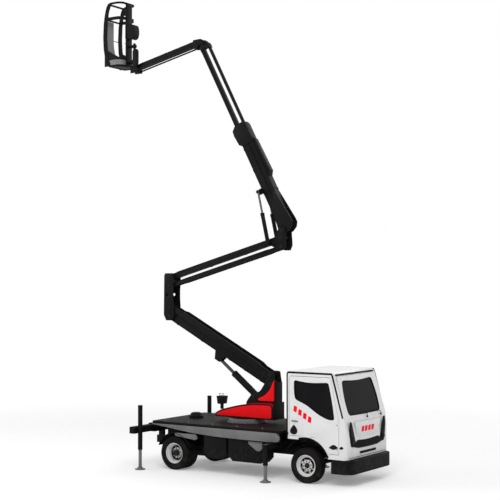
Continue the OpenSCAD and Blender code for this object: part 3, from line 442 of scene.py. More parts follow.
class Part:
    def __init__(self, name, body, look, slot=None, replaces=()):
        self.name, self.body, self.slotName, self.gone = name, body, slot, replaces
        self.bm = bmesh.new()
        self.looks = [look]
        self.now = 0

    def use(self, look):
        if look not in self.looks:
            self.looks.append(look)
        self.now = self.looks.index(look)
        return self

    def close(self, faces, soft=0.0, segments=2):
        for face in faces:
            face.material_index = self.now
        bmesh.ops.recalc_face_normals(self.bm, faces=faces)
        if soft > 0:
            edges = {e for f in faces for e in f.edges
                     if e.is_manifold and e.calc_face_angle(0) > math.radians(bevel["newShell"])}
            bmesh.ops.bevel(self.bm, geom=list(edges), offset=soft, segments=segments, profile=bevel["profile"],
                            affect="EDGES", clamp_overlap=True, material=-1)

    def plate(self, outline, place, low, high, soft=0.0, hole=None, segments=2):
        loops = [outline] if hole is None else [outline, hole]
        rows = [[self.bm.verts.new(place(u, v, w)) for u, v in loop] for loop in loops for w in (low, high)]
        count = len(outline)
        faces = []
        for i in range(count):
            j = (i + 1) % count
            for k in range(0, len(rows), 2):
                faces.append(self.bm.faces.new((rows[k][i], rows[k][j], rows[k + 1][j], rows[k + 1][i])))
            if hole is not None:
                for k in (0, 1):
                    faces.append(self.bm.faces.new((rows[k][i], rows[k][j], rows[k + 2][j], rows[k + 2][i])))
        if hole is None:
            faces += [self.bm.faces.new(rows[0][::-1]), self.bm.faces.new(rows[1])]
        self.close(faces, soft, segments)
        return self

    def slab(self, outline, y0, y1, soft=0.0, hole=None, segments=2):
        return self.plate(outline, flat(0), y0, y1, soft, hole, segments)

    def slabs(self, outline, y0, y1, soft=0.0, hole=None, segments=2):
        self.slab(outline, y0, y1, soft, hole, segments)
        return self.slab(outline, -y1, -y0, soft, hole, segments)

    def block(self, low, high, soft=0.004, segments=2):
        return self.slab(rect(low[0], low[2], high[0], high[2]),
                         low[1], high[1], soft, None, segments)

    def turned(self, profile, centre, axis, sides=32, ring=False, soft=0.0):
        axis = Vector(axis).normalized()
        across = axis.orthogonal().normalized()
        other = axis.cross(across)
        centre = Vector(centre)
        rows = []
        for radius, along in profile:
            if radius < 1e-6:
                rows.append([self.bm.verts.new(centre + axis * along)])
                continue
            rows.append([self.bm.verts.new(centre + axis * along + around(across, other,
                2 * math.pi * i / sides) * radius)
                         for i in range(sides)])
        pairs = list(zip(rows, rows[1:])) + ([(rows[-1], rows[0])] if ring else [])
        faces = []
        for a, b in pairs:
            for i in range(sides):
                j = (i + 1) % sides
                corners = [a[i % len(a)], a[j % len(a)], b[j % len(b)], b[i % len(b)]]
                loop = [v for k, v in enumerate(corners) if v not in corners[:k]]
                if len(loop) > 2:
                    faces.append(self.bm.faces.new(loop))
        self.close(faces, soft)
        return self

    def tube(self, path, radius, sides=12):
        path = [Vector(p) for p in path]
        rows = []
        side = None
        for i, point in enumerate(path):
            ahead = (path[min(i + 1, len(path) - 1)] - path[max(i - 1, 0)]).normalized()
            side = ahead.orthogonal().normalized() if side is None else (side - ahead * side.dot(ahead)).normalized()
            up = ahead.cross(side)
            rows.append([self.bm.verts.new(point + around(side, up, 2 * math.pi * k / sides) * radius)
                         for k in range(sides)])
        return self.loft(rows)

    def loft(self, rows):
        faces = [self.bm.faces.new((a[k], a[(k + 1) % len(a)], b[(k + 1) % len(a)], b[k]))
                 for a, b in zip(rows, rows[1:]) for k in range(len(a))]
        faces += [self.bm.faces.new(rows[0][::-1]), self.bm.faces.new(rows[-1])]
        self.close(faces)
        return self

    def copyOf(self, node, soft=0.004, segments=2):
        fresh = bmesh.new()
        fresh.from_mesh(nodes[node].data)
        bmesh.ops.remove_doubles(fresh, verts=fresh.verts, dist=bevel["merge"])
        bmesh.ops.dissolve_limit(fresh, angle_limit=math.radians(1), verts=fresh.verts, edges=fresh.edges)
        if soft > 0:
            sharp = math.radians(bevel["copiedShell"])
            edges = [e for e in fresh.edges if e.is_manifold and e.calc_face_angle(0) > sharp]
            bmesh.ops.bevel(fresh, geom=edges, offset=soft, segments=segments, profile=bevel["profile"],
                            affect="EDGES", clamp_overlap=True)
        return self.take(fresh)

    def take(self, fresh):
        for face in fresh.faces:
            face.material_index = self.now
        mesh = bpy.data.meshes.new("carried")
        fresh.to_mesh(mesh)
        fresh.free()
        self.bm.from_mesh(mesh)
        bpy.data.meshes.remove(mesh)
        return self

    def done(self, sharp=32):
        mesh = bpy.data.meshes.new(self.name)
        self.bm.to_mesh(mesh)
        self.bm.free()
        mesh.shade_smooth()
        mesh.set_sharp_from_angle(angle=math.radians(sharp))
        for look in self.looks:
            mesh.materials.append(finish[look])
        obj = bpy.data.objects.new(self.name, mesh)
        scene.collection.objects.link(obj)
        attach(obj, self.body)
        if self.gone:
            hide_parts(*self.gone)
        return obj


# node trees for what repeats: the object's own mesh is the seed
def repeatTree(name, numbers, build):
    tree = bpy.data.node_groups.new(name, "GeometryNodeTree")
    tree.interface.new_socket("Seed", in_out="INPUT", socket_type="NodeSocketGeometry")
    for label, kind, value in numbers:
        tree.interface.new_socket(label, in_out="INPUT", socket_type=kind).default_value = value
    tree.interface.new_socket("Finish", in_out="INPUT", socket_type="NodeSocketMaterial")
    tree.interface.new_socket("Result", in_out="OUTPUT", socket_type="NodeSocketGeometry")
    m = Maker(tree)
    given = m.add("NodeGroupInput").outputs
    result = m.add("NodeGroupOutput").inputs
    points, turn = build(m, given)
    spread = m.add("GeometryNodeInstanceOnPoints", {"Points": points, "Instance": given["Seed"]})
    if turn is not None:
        m.to(turn, spread.inputs["Rotation"])
    place = m.add("GeometryNodeTransform", {"Geometry": spread.outputs["Instances"], "Translation": given["Place"],
                                            "Rotation": given["Turn"]})
    real = m.add("GeometryNodeRealizeInstances", {"Geometry": place.outputs["Geometry"]})
    coat = m.add("GeometryNodeSetMaterial", {"Geometry": real.outputs["Geometry"], "Material": given["Finish"]})
    m.to(coat.outputs["Geometry"], result["Result"])
    return tree


def buildRing(m, given):
    ring = m.add("GeometryNodeMeshCircle", {"Vertices": given["Count"], "Radius": given["Radius"]})
    about = m.add("ShaderNodeCombineXYZ", {"Z": given["Phase"]})
    spin = m.add("GeometryNodeTransform", {"Geometry": ring.outputs["Mesh"], "Rotation": about.outputs[0]})
    where = m.add("ShaderNodeSeparateXYZ", {0: m.add("GeometryNodeInputPosition").outputs[0]}).outputs
    turn = m.add("ShaderNodeCombineXYZ", {"Z": m.math("ARCTAN2", where["Y"], where["X"])})
    return spin.outputs["Geometry"], turn.outputs[0]


def buildLine(m, given):
    return m.add("GeometryNodeMeshLine", {"Count": given["Count"], "Offset": given["Step"]}).outputs["Mesh"], None


def buildGrid(m, given):
    labels = ("Size X", "Size Y", "Vertices X", "Vertices Y")
    grid = m.add("GeometryNodeMeshGrid", {label: given[label] for label in labels})
    order = m.add("GeometryNodeInputIndex").outputs[0]
    odd = m.math("MODULO", m.math("ADD", order, m.math("FLOOR", m.math("DIVIDE", order, given["Vertices Y"]))), 2.0)
    turn = m.add("ShaderNodeCombineXYZ", {"Z": m.math("MULTIPLY", odd, math.pi / 2)})
    return grid.outputs["Mesh"], turn.outputs[0]


whole, vector = "NodeSocketInt", "NodeSocketVector"
places = [("Place", vector, (0, 0, 0)), ("Turn", vector, (0, 0, 0))]
ringRepeat = repeatTree("ringRepeat", [("Count", whole, 8), ("Radius", number, 0.1), ("Phase", number, 0)] + places,
                        buildRing)
lineRepeat = repeatTree("lineRepeat", [("Count", whole, 4), ("Step", vector, (0.1, 0, 0))] + places, buildLine)
gridRepeat = repeatTree("gridRepeat", [("Size X", number, 1), ("Size Y", number, 1), ("Vertices X", whole, 10),
                                       ("Vertices Y", whole, 10)] + places, buildGrid)


def seedMesh(name, shape):
    part = Part(name, None, "boltSteel")
    shape(part)
    mesh = bpy.data.meshes.new(name)
    part.bm.to_mesh(mesh)
    part.bm.free()
    return mesh


def hexBolt(size, tall):
    washer = rect(0, 0, size * 1.35, size * 0.22)
    head = [(0, size * 0.2), (size, size * 0.2), (size, tall - size * 0.12), (size * 0.86, tall), (0, tall)]
    return lambda p: (p.turned(washer, (0, 0, 0), (0, 0, 1), 16), p.turned(head, (0, 0, 0), (0, 0, 1), 6))


def plainBlock(low, high, soft):
    return lambda p: p.block(low, high, soft)


def diamondStud(p):
    narrowing = lambda u, v, w: Vector((u * (1 - w * 120), v * (1 - w * 120), w))
    p.plate([(-0.018, 0), (0, -0.004), (0.018, 0), (0, 0.004)], narrowing, -0.001, 0.0022)


seeds = {
    "bolt": seedMesh("boltSeed", hexBolt(0.012, 0.014)),
    "smallBolt": seedMesh("smallBoltSeed", hexBolt(0.007, 0.008)),
    "wheelNut": seedMesh("wheelNutSeed", hexBolt(0.014, 0.026)),
    "treadBlock": seedMesh("treadBlockSeed", plainBlock((-0.012, -0.017, -0.0165), (0.0, 0.017, 0.0165), 0.003)),
    "deckDiamond": seedMesh("deckDiamondSeed", diamondStud),
    "slat": seedMesh("slatSeed", plainBlock((-0.006, -0.56, -0.007), (0.006, 0.56, 0.007), 0.003)),
    "tread": seedMesh("treadSeed", plainBlock((-0.004, -0.10, 0.0), (0.004, 0.10, 0.006), 0.001)),
}
hardware = {}


def repeated(tree, seed, body, look, **values):
    holder = bpy.data.objects.new("holder", seeds[seed].copy())
    scene.collection.objects.link(holder)
    modifier = holder.modifiers.new("repeat", "NODES")
    modifier.node_group = tree
    for item in tree.interface.items_tree:
        if item.in_out == "INPUT" and item.name.replace(" ", "") in values:
            modifier[item.identifier] = values[item.name.replace(" ", "")]
        if item.in_out == "INPUT" and item.name == "Finish":
            modifier[item.identifier] = finish[look]
    graph = bpy.context.evaluated_depsgraph_get()
    graph.update()
    mesh = bpy.data.meshes.new_from_object(holder.evaluated_get(graph), depsgraph=graph)
    bpy.data.objects.remove(holder)
    hardware.setdefault((body, look), []).append(mesh)


def ringOf(seed, body, look, centre, axis, count, radius, phase=0.0):
    turn = Vector(axis).to_track_quat("Z", "Y").to_euler()
    repeated(ringRepeat, seed, body, look, Count=count, Radius=radius, Phase=phase, Place=tuple(centre),
             Turn=tuple(turn))


def rowOf(seed, body, look, count, step, start, turn=(0.0, 0.0, 0.0)):
    repeated(lineRepeat, seed, body, look, Count=count, Step=step, Place=tuple(start), Turn=turn)


bothSides = (("right", -1), ("left", 1))
fourCorners = [(end, word, side) for end in ("front", "rear") for word, side in bothSides]

pivots = {j["name"]: Vector(j["pos_m"]) for j in frame["joints"] if j.get("pos_m")}
print("helpers and repeat trees made")

# wheels: carcass, tread blocks, dished rim with hand holes, nuts and hub cap
wheel = {"blocks": 54, "rows": (-0.70, -0.25, 0.25, 0.70), "handHoles": 8, "nuts": 8, "nutCircle": 0.092}


def tyreOn(p, centre, half):
    rim = tyreR * 0.6
    side = [(rim, -half + 0.024), (rim + 0.007, -half + 0.009), (rim + 0.022, -half + 0.006),
            (rim + 0.027, -half + 0.009), (rim + 0.045, -half + 0.002), (rim + 0.068, -half),
            (rim + 0.070, -half + 0.003), (rim + 0.096, -half + 0.003), (rim + 0.098, -half),
            (tyreR - 0.030, -half + 0.008), (tyreR - 0.022, -half + 0.006), (tyreR - 0.010, -half + 0.012),
            (tyreR - 0.0095, -half + 0.022)]
    inner = rect(rim + 0.012, half - 0.03, tyreR - 0.03, -half + 0.03)
    p.turned(side + [(r, -a) for r, a in side[::-1]] + inner, centre, (0, 1, 0), 96, ring=True)


def holedDisc(p, centre, axis, inner, outer, holes, wide, tall, thick):
    axis = Vector(axis)
    across, other = Vector((1, 0, 0)), axis.cross(Vector((1, 0, 0)))
    fresh = bmesh.new()
    steps = 4
    for h in range(holes):
        a0, a1 = 2 * math.pi * h / holes, 2 * math.pi * (h + 1) / holes
        edge = [(inner, a0 + (a1 - a0) * k / steps) for k in range(steps)]
        edge += [(inner + (outer - inner) * k / steps, a1) for k in range(steps)]
        edge += [(outer, a1 - (a1 - a0) * k / steps) for k in range(steps)]
        edge += [(outer - (outer - inner) * k / steps, a0) for k in range(steps)]
        midR, midA = (inner + outer) / 2, (a0 + a1) / 2
        gaps = []
        for r, a in edge:
            dr, da = (r - midR) / ((outer - inner) / 2), (a - midA) / ((a1 - a0) / 2)
            size = math.hypot(dr, da)
            gaps.append((midR + tall * dr / size, midA + wide / midR * da / size))
        rows = [[fresh.verts.new(Vector(centre) + around(across, other, a) * r) for r, a in loop]
                for loop in (edge, gaps)]
        for i in range(len(edge)):
            j = (i + 1) % len(edge)
            fresh.faces.new((rows[0][i], rows[0][j], rows[1][j], rows[1][i]))
    bmesh.ops.remove_doubles(fresh, verts=fresh.verts, dist=bevel["merge"])
    bmesh.ops.recalc_face_normals(fresh, faces=fresh.faces)
    bmesh.ops.solidify(fresh, geom=fresh.faces[:], thickness=thick)
    bmesh.ops.recalc_face_normals(fresh, faces=fresh.faces)
    p.take(fresh)


def rimOn(p, body, centre, side, half, dish, hubOut, hubR):
    rim, h = tyreR * 0.6, half - 0.006
    centre, axis = Vector(centre), Vector((0, side, 0))
    p.use("rimPaint").turned(
        [(rim + 0.005, -h), (rim + 0.005, -h + 0.008), (rim - 0.001, -h + 0.014), (rim - 0.002, -0.045),
         (rim - 0.024, -0.030), (rim - 0.024, 0.020), (rim - 0.002, 0.040), (rim - 0.001, h - 0.014),
         (rim + 0.005, h - 0.008), (rim + 0.005, h), (rim - 0.004, h + 0.001), (rim - 0.010, h - 0.012),
         (rim - 0.012, 0.045), (rim - 0.032, 0.024), (rim - 0.032, -0.034), (rim - 0.012, -0.05),
         (rim - 0.010, -h + 0.012), (rim - 0.004, -h - 0.001)], centre, axis, 64, ring=True)
    face = centre + axis * dish
    p.turned([(0.030, -0.004), (0.118, -0.004), (0.121, 0.002), (0.118, 0.006), (0.030, 0.006)], face, axis, 48,
             ring=True)
    # the holed disc is painted black as painted shade: it gives the dark ring of the dish between the pale lip and the
    # pale centre
    p.use("blackPaint")
    holedDisc(p, face, axis, 0.114, 0.180, wheel["handHoles"], 0.030, 0.019, 0.008)
    p.use("rimPaint").turned([(0.174, -0.005), (0.200, -0.012 if dish < 0 else -0.005), (rim - 0.020, -0.016),
                              (rim - 0.020, -0.006),
              (0.198, -0.002 if dish < 0 else 0.006), (0.174, 0.005)], face, axis, 48, ring=True)
    p.use("castIron").turned([(0, -0.02), (hubR + 0.006, -0.02), (hubR + 0.006, 0.012), (hubR, 0.02),
                              (hubR - 0.006, hubOut - dish - 0.03), (hubR - 0.016, hubOut - dish - 0.022),
                              (hubR - 0.020, hubOut - dish - 0.008), (hubR - 0.032, hubOut - dish),
                              (0, hubOut - dish)], face, axis, 40)
    ringOf("wheelNut", body, "boltSteel", face + axis * 0.006, axis, wheel["nuts"], wheel["nutCircle"], 0.2)


for end, word, side in fourCorners:
    body = f"wheel_{end}_{word}"
    low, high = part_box(f"tyre_{end}_{word}")
    tyrePart = Part(f"tyre{end.title()}{word.title()}", body, "rubber", "tyre", (f"tyre_{end}_{word}",))
    rimPart = Part(f"rim{end.title()}{word.title()}", body, "rimPaint", "rim_paint", (f"rim_{end}_{word}",))
    midX = (low.x + high.x) / 2
    if end == "front":
        rows = [((low.y + high.y) / 2, (high.y - low.y) / 2, 0.030, 0.088, 0.052)]
    else:
        half = 0.0975
        rows = [(side * 0.88, half, -0.030, 0.082, 0.066), (side * 0.655, half, 0.030, 0.045, 0.066)]
    for y, half, dish, hubOut, hubR in rows:
        tyreOn(tyrePart, (midX, y, tyreR), half)
        rimOn(rimPart, body, (midX, y, tyreR), side, half, dish, hubOut, hubR)
        for i, row in enumerate(wheel["rows"]):
            ringOf("treadBlock", body, "rubber", (midX, y + row * half, tyreR), (0, 1, 0), wheel["blocks"], tyreR,
                   i % 2 * math.pi / wheel["blocks"])
    tyrePart.done()
    rimPart.done()
print("wheels made")

# stabilisers: dark beams and tubes, grey legs with foot pads
stabiliser = {"padR": 0.120, "legR": 0.038, "collar": 0.056}
for end, word, side in fourCorners:
    beam, leg = f"beam_{end}_{word}", f"jack_{end}_{word}"
    low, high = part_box(leg)
    x, y = (low.x + high.x) / 2, (low.y + high.y) / 2
    beamLow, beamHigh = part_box(beam)
    p = Part(f"beam{end.title()}{word.title()}", beam, "blackPaint", "black_paint", (beam,)).copyOf(beam, 0.004)
    ringR = stabiliser["collar"]
    for z in (beamLow.z + 0.003, beamHigh.z - 0.024, (beamLow.z + beamHigh.z) / 2):
        p.turned([(0.050, 0), (ringR, 0.002), (ringR, 0.018), (0.050, 0.020)], (x, y, z), (0, 0, 1), 40, ring=True)
    p.done()
    ringOf("smallBolt", beam, "boltSteel", (x, y, beamHigh.z), (0, 0, 1), 6, 0.038)
    r = stabiliser["padR"]
    p = Part(f"leg{end.title()}{word.title()}", leg, "greyPaint", "grey_paint", (leg,))
    p.turned([(0, 0), (r - 0.004, 0), (r, 0.004), (r, 0.014), (r - 0.006, 0.020), (r - 0.040, 0.024), (0.062, 0.030),
              (0.058, 0.052), (0.050, 0.060), (0, 0.060)], (x, y, 0), (0, 0, 1), 48)
    p.turned([(0, 0.05), (0.030, 0.052), (0.036, 0.066), (0.038, 0.080), (stabiliser["legR"], 0.086),
              (stabiliser["legR"], high.z - 0.01), (stabiliser["legR"] - 0.006, high.z), (0, high.z)], (x, y, 0),
             (0, 0, 1), 40)
    p.done()
    ringOf("smallBolt", leg, "boltSteel", (x, y, 0.021), (0, 0, 1), 8, 0.086)
print("stabilisers made")

# chassis: rails, axles, springs and housings keep their shape with softened edges
for node, look in (("frame", "blackPaint"), ("axles", "castIron"), ("springs", "castIron"), ("housings", "blackPaint"),
                   ("engine", "castIron"), ("mudguards", "blackPaint"), ("slew_base", "greyPaint"),
                   ("knuckle_right", "castIron"), ("knuckle_left", "castIron")):
    body = node if node.startswith("knuckle") else "chassis"
    name = joined(node) + "Shown"
    Part(name[0].lower() + name[1:], body, look, slotOf[node], (node,)).copyOf(node, 0.003).done()
for side in (-1, 1):
    for x in (frontX - 0.26, frontX + 0.30, rearX - 0.45, rearX + 0.52):
        rowOf("smallBolt", "chassis", "boltSteel", 6, (0.05, 0.0, 0.0), (x, side * 0.420, 0.62),
              (-side * math.pi / 2, 0.0, 0.0))
ringOf("bolt", "chassis", "boltSteel", (pivots["slew"].x, 0, deckTop), (0, 0, 1), 28, 0.445)

# deck: dark platform with a studded top, grey side aprons, lamps at the tail
deckLook = {"edge": 0.060, "apron": 0.025, "stud": 0.052, "lampZ": 0.955}
p = Part("platform", "chassis", "blackPaint", "black_paint", ("deck",))
x0, x1 = deckLow.x, deckHigh.x
p.plate(rounded(rect(x0, -deckHalf, x1, deckHalf), 0.05, 6),
        lying, deckTop - deckLook["edge"], deckTop, 0.008)
for i in range(7):
    x = x0 + 0.25 + i * (x1 - x0 - 0.5) / 6
    p.block((x - 0.03, -deckHalf + 0.03, deckTop - 0.13), (x + 0.03, deckHalf - 0.03, deckTop - 0.055), 0.004)
p.slabs([(x0, 0.670), (x0, deckTop - 0.055), (x1 - 0.38, deckTop - 0.055), (x1 - 0.38, 0.670)], 0.350, 0.420, 0.004)
dome = (rearX - 0.090, 0, deckTop)
p.turned([(0.0, -0.01), (0.170, -0.01), (0.170, 0.050), (0.158, 0.062), (0.146, 0.066), (0.132, 0.098), (0.100, 0.124),
          (0.060, 0.130), (0, 0.130)], dome, (0, 0, 1), 48)
p.use("boltSteel")
for side in (-1, 1):
    for i in range(5):
        x = x0 + 0.35 + i * 0.66
        p.turned([(0.020, -0.004), (0.026, 0), (0.020, 0.004), (0.016, 0)], (x, side * (deckHalf - 0.05),
            deckTop + 0.012), (1, 0, 0), 16, ring=True)
p.done()
apron = [(-4.045, 1.024), (-4.045, 1.000), (-3.70, 0.966), (-3.30, 0.915), (-2.90, 0.873), (-2.30, 0.838),
         (-1.60, 0.824), (-0.95, 0.822), (-0.70, 0.828), (-0.612, 0.850), (-0.583, 0.900), (-0.590, 0.955),
         (-0.625, 1.000), (-0.69, 1.024)]
p = Part("aprons", "chassis", "greyPaint", "grey_paint")
p.slabs(near(apron), deckHalf - deckLook["apron"], deckHalf - 0.003, 0.003)
p.use("blackPaint").slabs(near([(-0.655, 1.014), (-0.600, 0.975), (-0.562, 0.900), (-0.590, 0.832), (-0.70, 0.806),
                                (-0.95, 0.800), (-1.60, 0.802), (-1.60, 0.826), (-0.95, 0.824), (-0.705, 0.830),
                                (-0.617, 0.852), (-0.588, 0.900), (-0.596, 0.955), (-0.665, 1.004)]), deckHalf - 0.022,
                          deckHalf - 0.001, 0.002)
# grey plate on the black mudguard over the rear wheel: a painted highlight
p.use("greyPaint").slabs(rounded(near([(-3.42, 0.842), (-3.40, 0.775), (-2.84, 0.715), (-2.78, 0.752),
                                       (-2.82, 0.842)]), 0.03), 0.960, 0.988, 0.003)
p.done()
repeated(gridRepeat, "deckDiamond", "chassis", "blackPaint", SizeX=x1 - x0 - 0.10, SizeY=2 * deckHalf - 0.10,
         VerticesX=int((x1 - x0) / deckLook["stud"]), VerticesY=int(2 * deckHalf / deckLook["stud"]),
         Place=((x0 + x1) / 2, 0.0, deckTop + 0.0005), Turn=(0.0, 0.0, 0.0))
p = Part("tailLamps", "chassis", "trimPlastic", "cab_trim")
lampX = deckLow.x - 0.004
for side in (-1, 1):
    across = lambda u, v, w: Vector((lampX - w, side * u, v))
    z = deckLook["lampZ"]
    p.use("trimPlastic").plate(rounded(rect(0.42, z - 0.05, 0.78, z + 0.05), 0.02), across, -0.03, 0.012, 0.003)
    for look, a, b in (("redLens", 0.435, 0.575), ("amberLens", 0.585, 0.675), ("lampGlass", 0.685, 0.765)):
        p.use(look).plate(rounded(rect(a, z - 0.038, b, z + 0.038), 0.014), across, 0.008, 0.022, 0.004)
p.use("plateWhite").plate(rounded(rect(-0.26, 0.90, 0.26, 1.01), 0.012),
                          lambda u, v, w: Vector((lampX - w, u, v)), 0.0, 0.006, 0.002)
p.use("blackPaint").block((lampX - 0.004, -0.80, 0.895), (lampX + 0.026, 0.80, 1.022), 0.004)
p.done()
print("chassis and deck made")

# side boxes: chamfered lockers with doors, hinges and turn latches
p = Part("lockers", "chassis", "blackPaint", "black_paint", ("side_boxes",)).copyOf("side_boxes", 0.006)
boxY = deckHalf - 0.05
for side in (-1, 1):
    for a, b, low in ((-2.61, -2.01, 0.350), (-1.95, -1.00, 0.330)):
        p.use("blackPaint").plate(rounded(near([(a + 0.035, 0.925), (a + 0.035, low + 0.13), (a + 0.12, low + 0.045),
                                                (b - 0.12, low + 0.045), (b - 0.035, low + 0.13), (b - 0.035, 0.925)]),
                                          0.02), flat(side * boxY), -0.004, 0.006, 0.003)
        for x in (a + 0.13, b - 0.19):
            p.use("castIron").plate(rounded(near(rect(x, 0.90, x + 0.06, 0.935)), 0.006), flat(side * (boxY + 0.006)),
                                    -0.004, 0.004, 0.001)
            p.tube([(frontX + x, side * (boxY + 0.008), 0.937), (frontX + x + 0.06, side * (boxY + 0.008), 0.937)],
                   0.006)
        mid = (a + b) / 2
        p.turned([(0, -0.002), (0.026, -0.002), (0.026, 0.004), (0.018, 0.007), (0, 0.007)],
                 (frontX + mid, side * (boxY + 0.005), low + 0.17), (0, side, 0), 24)
        p.plate(near([(mid - 0.006, low + 0.15), (mid + 0.006, low + 0.15), (mid + 0.005, low + 0.19),
                      (mid - 0.005, low + 0.19)]), flat(side * (boxY + 0.012)), -0.005, 0.005, 0.001)
    p.use("greyPaint").plate(rounded(near([(-1.42, 0.90), (-1.42, 0.745), (-1.20, 0.60), (-1.12, 0.60), (-1.06, 0.66),
                                           (-1.06, 0.90)]), 0.02),
                             flat(side * (boxY + 0.007)), -0.004, 0.005, 0.002)
p.done()
print("lockers made")

# cab: softened shell, curved window surrounds, seals, lamps, grille, wipers and plain slanted bars
cabLook = {"surround": 0.004, "seal": 0.013, "slats": 5, "bars": 4, "screenFoot": (0.930, 1.400),
           "screenLean": (0.2707, 0.9626)}  # lean: how far the screen goes back and up for each metre along it
frontFace = cabHigh.x
screenX, screenZ = cabLook["screenFoot"]
leanBack, leanRise = cabLook["screenLean"]
screenPlace = lambda u, v, w: Vector((frontX + screenX - leanBack * v + leanRise * w, u,
                                      screenZ + leanRise * v + leanBack * w))
facePlace = lambda u, v, w: Vector((frontFace + w, u, v))


def arcBand(x, z, inner, outer, start, end, steps=20):
    angles = [math.radians(start + (end - start) * i / steps) for i in range(steps + 1)]
    return [(x + outer * math.cos(a), z + outer * math.sin(a)) for a in angles] + \
           [(x + inner * math.cos(a), z + inner * math.sin(a)) for a in reversed(angles)]


def lens(x0, x1, z, tall, lean=0.0, steps=10):
    top = [(x0 + (x1 - x0) * i / steps,
            z + tall * math.sin(math.pi * i / steps) + lean * i / steps) for i in range(steps)]
    low = [(x1 - (x1 - x0) * i / steps,
            z - tall * 0.6 * math.sin(math.pi * i / steps) + lean * (1 - i / steps)) for i in range(steps)]
    return top + low


p = Part("cabBody", "chassis", "cabPaint", "cab_paint", ("cab_shell",)).copyOf("cab_shell", 0.009, 3)
opening = [(-0.70, 0.060), (0.0, 0.048), (0.70, 0.060), (0.735, 0.40), (0.655, 0.815), (0.0, 0.775), (-0.655, 0.815),
           (-0.735, 0.40)]
cuts = [0.10, 0.35, 0.10, 0.3, 0.10, 0.40, 0.10, 0.3]
glassEdge = rounded(opening, cuts)
border = rounded([(-0.83, 0.004), (0.0, 0.004), (0.83, 0.004), (0.83, 0.40), (0.815, 0.905), (0.0, 0.905),
                  (-0.815, 0.905), (-0.83, 0.40)],
                 [0.03, 0.02, 0.03, 0.02, 0.05, 0.02, 0.05, 0.02])
p.plate(border, screenPlace, -0.004, cabLook["surround"], 0.0, glassEdge)
p.use("trimPlastic").plate(glassEdge, screenPlace, -0.010, cabLook["surround"] + 0.003, 0.0,
                           grown(glassEdge, -cabLook["seal"]))
for side in (-1, 1):
    wall = flat(side * cabHalf)
    put = lambda outline, w0, w1, soft=0.0: p.plate(outline, wall, *sorted((side * w0, side * w1)), soft)
    p.use("blackPaint")
    put(near([(-0.42, 2.350), (0.646, 2.350), (0.657, 2.310), (-0.42, 2.310)]), -0.004, 0.004)
    put(near([(0.626, 2.312), (0.666, 2.312), (0.914, 1.425), (0.878, 1.425)]), -0.004, 0.004)
    corner = [(frontX - 0.458, side * (cabHalf - 0.011), 0.93), (frontX - 0.458, side * (cabHalf - 0.011), 2.30),
              (frontX - 0.440, side * (cabHalf - 0.006), 2.325), (frontX - 0.42, side * (cabHalf - 0.004), 2.328)]
    p.tube(corner, 0.018, 12)
    put(near(arcBand(0, tyreR, 0.573, 0.604, 21, 107)), -0.012, 0.008, 0.003)
    p.use("trimPlastic")
    put(near(lens(0.815, 0.915, 0.800, 0.040, 0.012)), -0.004, 0.003)
    put(near(rounded(rect(-0.455, 1.00, -0.425, 1.06), 0.01)), -0.006, 0.004)
    wedge = [(side * u, v) for u, v in rounded([(0.50, 0.795), (0.735, 0.820), (0.775, 0.95), (0.805, 1.20),
                                                (0.775, 1.345), (0.715, 1.335), (0.60, 1.05)], 0.03)]
    p.use("trimPlastic").plate(wedge, facePlace, -0.006, 0.009, 0.003)
    p.use("rodChrome").turned([(0, 0), (0.05, 0.002), (0.068, 0.012), (0.071, 0.016), (0.066, 0.016), (0.048, 0.006),
                               (0, 0.004)],
                              (frontFace + 0.004, side * 0.685, 0.925), (1, 0, 0), 32)
    p.use("tintedGlass").turned([(0, 0.014), (0.070, 0.014), (0.072, 0.019), (0.060, 0.026), (0.030, 0.030),
                                 (0, 0.031)],
                              (frontFace + 0.002, side * 0.685, 0.925), (1, 0, 0), 32)
    p.use("tintedGlass").plate([(side * u, v) for u, v in rounded([(0.690, 1.02), (0.765, 1.06), (0.780, 1.22),
        (0.715, 1.24)], 0.02)], facePlace, 0.006, 0.015, 0.003)
    p.use("cabPaint")
    put(near(arcBand(0, tyreR, 0.602, 0.628, 24, 100)), -0.004, 0.004, 0.002)
p.use("blackPaint").plate(rect(-0.84, 0.958, 0.84, 0.925), screenPlace, -0.004, 0.003)
band = rounded([(-0.47, 0.775), (0.0, 0.760), (0.47, 0.775), (0.53, 0.86), (0.48, 0.945), (0.0, 0.915), (-0.48, 0.945),
                (-0.53, 0.86)],
               [0.03, 0.3, 0.03, 0.03, 0.05, 0.3, 0.05, 0.03])
p.use("trimPlastic").plate(band, facePlace, -0.006, 0.006, 0.0)
p.plate(band, facePlace, 0.0, 0.013, 0.002, grown(band, -0.014))
intake = rounded([(-0.36, 0.625), (0.36, 0.625), (0.40, 0.675), (0.36, 0.715), (-0.36, 0.715), (-0.40, 0.675)], 0.04)
p.plate(intake, facePlace, -0.006, 0.005, 0.0)
p.use("cabPaint").plate(intake, facePlace, -0.004, 0.009, 0.002, grown(intake, -0.016))
p.use("blackPaint").plate(rect(-0.80, 0.598, 0.80, 0.590), facePlace, -0.004, 0.002)
p.use("cabPaint").plate(rounded([(-0.47, 1.00), (0.47, 1.00), (0.57, 1.315), (-0.57, 1.315)], 0.05), facePlace, -0.004,
                        0.005, 0.003)
p.use("trimPlastic")
for y0, y1 in ((0.10, 0.66), (-0.52, 0.04)):
    foot = screenPlace(y1 + 0.02, -0.020, 0.012)
    knee, tip = screenPlace(y1 - 0.02, 0.050, 0.030), screenPlace((y0 + y1) / 2, 0.095, 0.030)
    p.turned([(0, 0), (0.018, 0), (0.018, 0.02), (0.010, 0.028), (0, 0.028)], foot - Vector((0.01, 0, 0)), (1, 0, 0.3),
             20)
    p.tube(smoothPath([foot + Vector((0.012, 0, 0)), knee, tip], 5), 0.006, 8)
    p.plate([(y0, 0.088), (y1 - 0.03, 0.100), (y1 - 0.03, 0.110), (y0, 0.098)], screenPlace, 0.012, 0.026, 0.001)
rear = rounded(rect(-0.45, 1.75, 0.45, 2.17), 0.03)
p.plate(grown(rear, 0.03), lambda u, v, w: Vector((cabLow.x + w, u, v)), -0.005, 0.008, 0.0, grown(rear, -0.02))
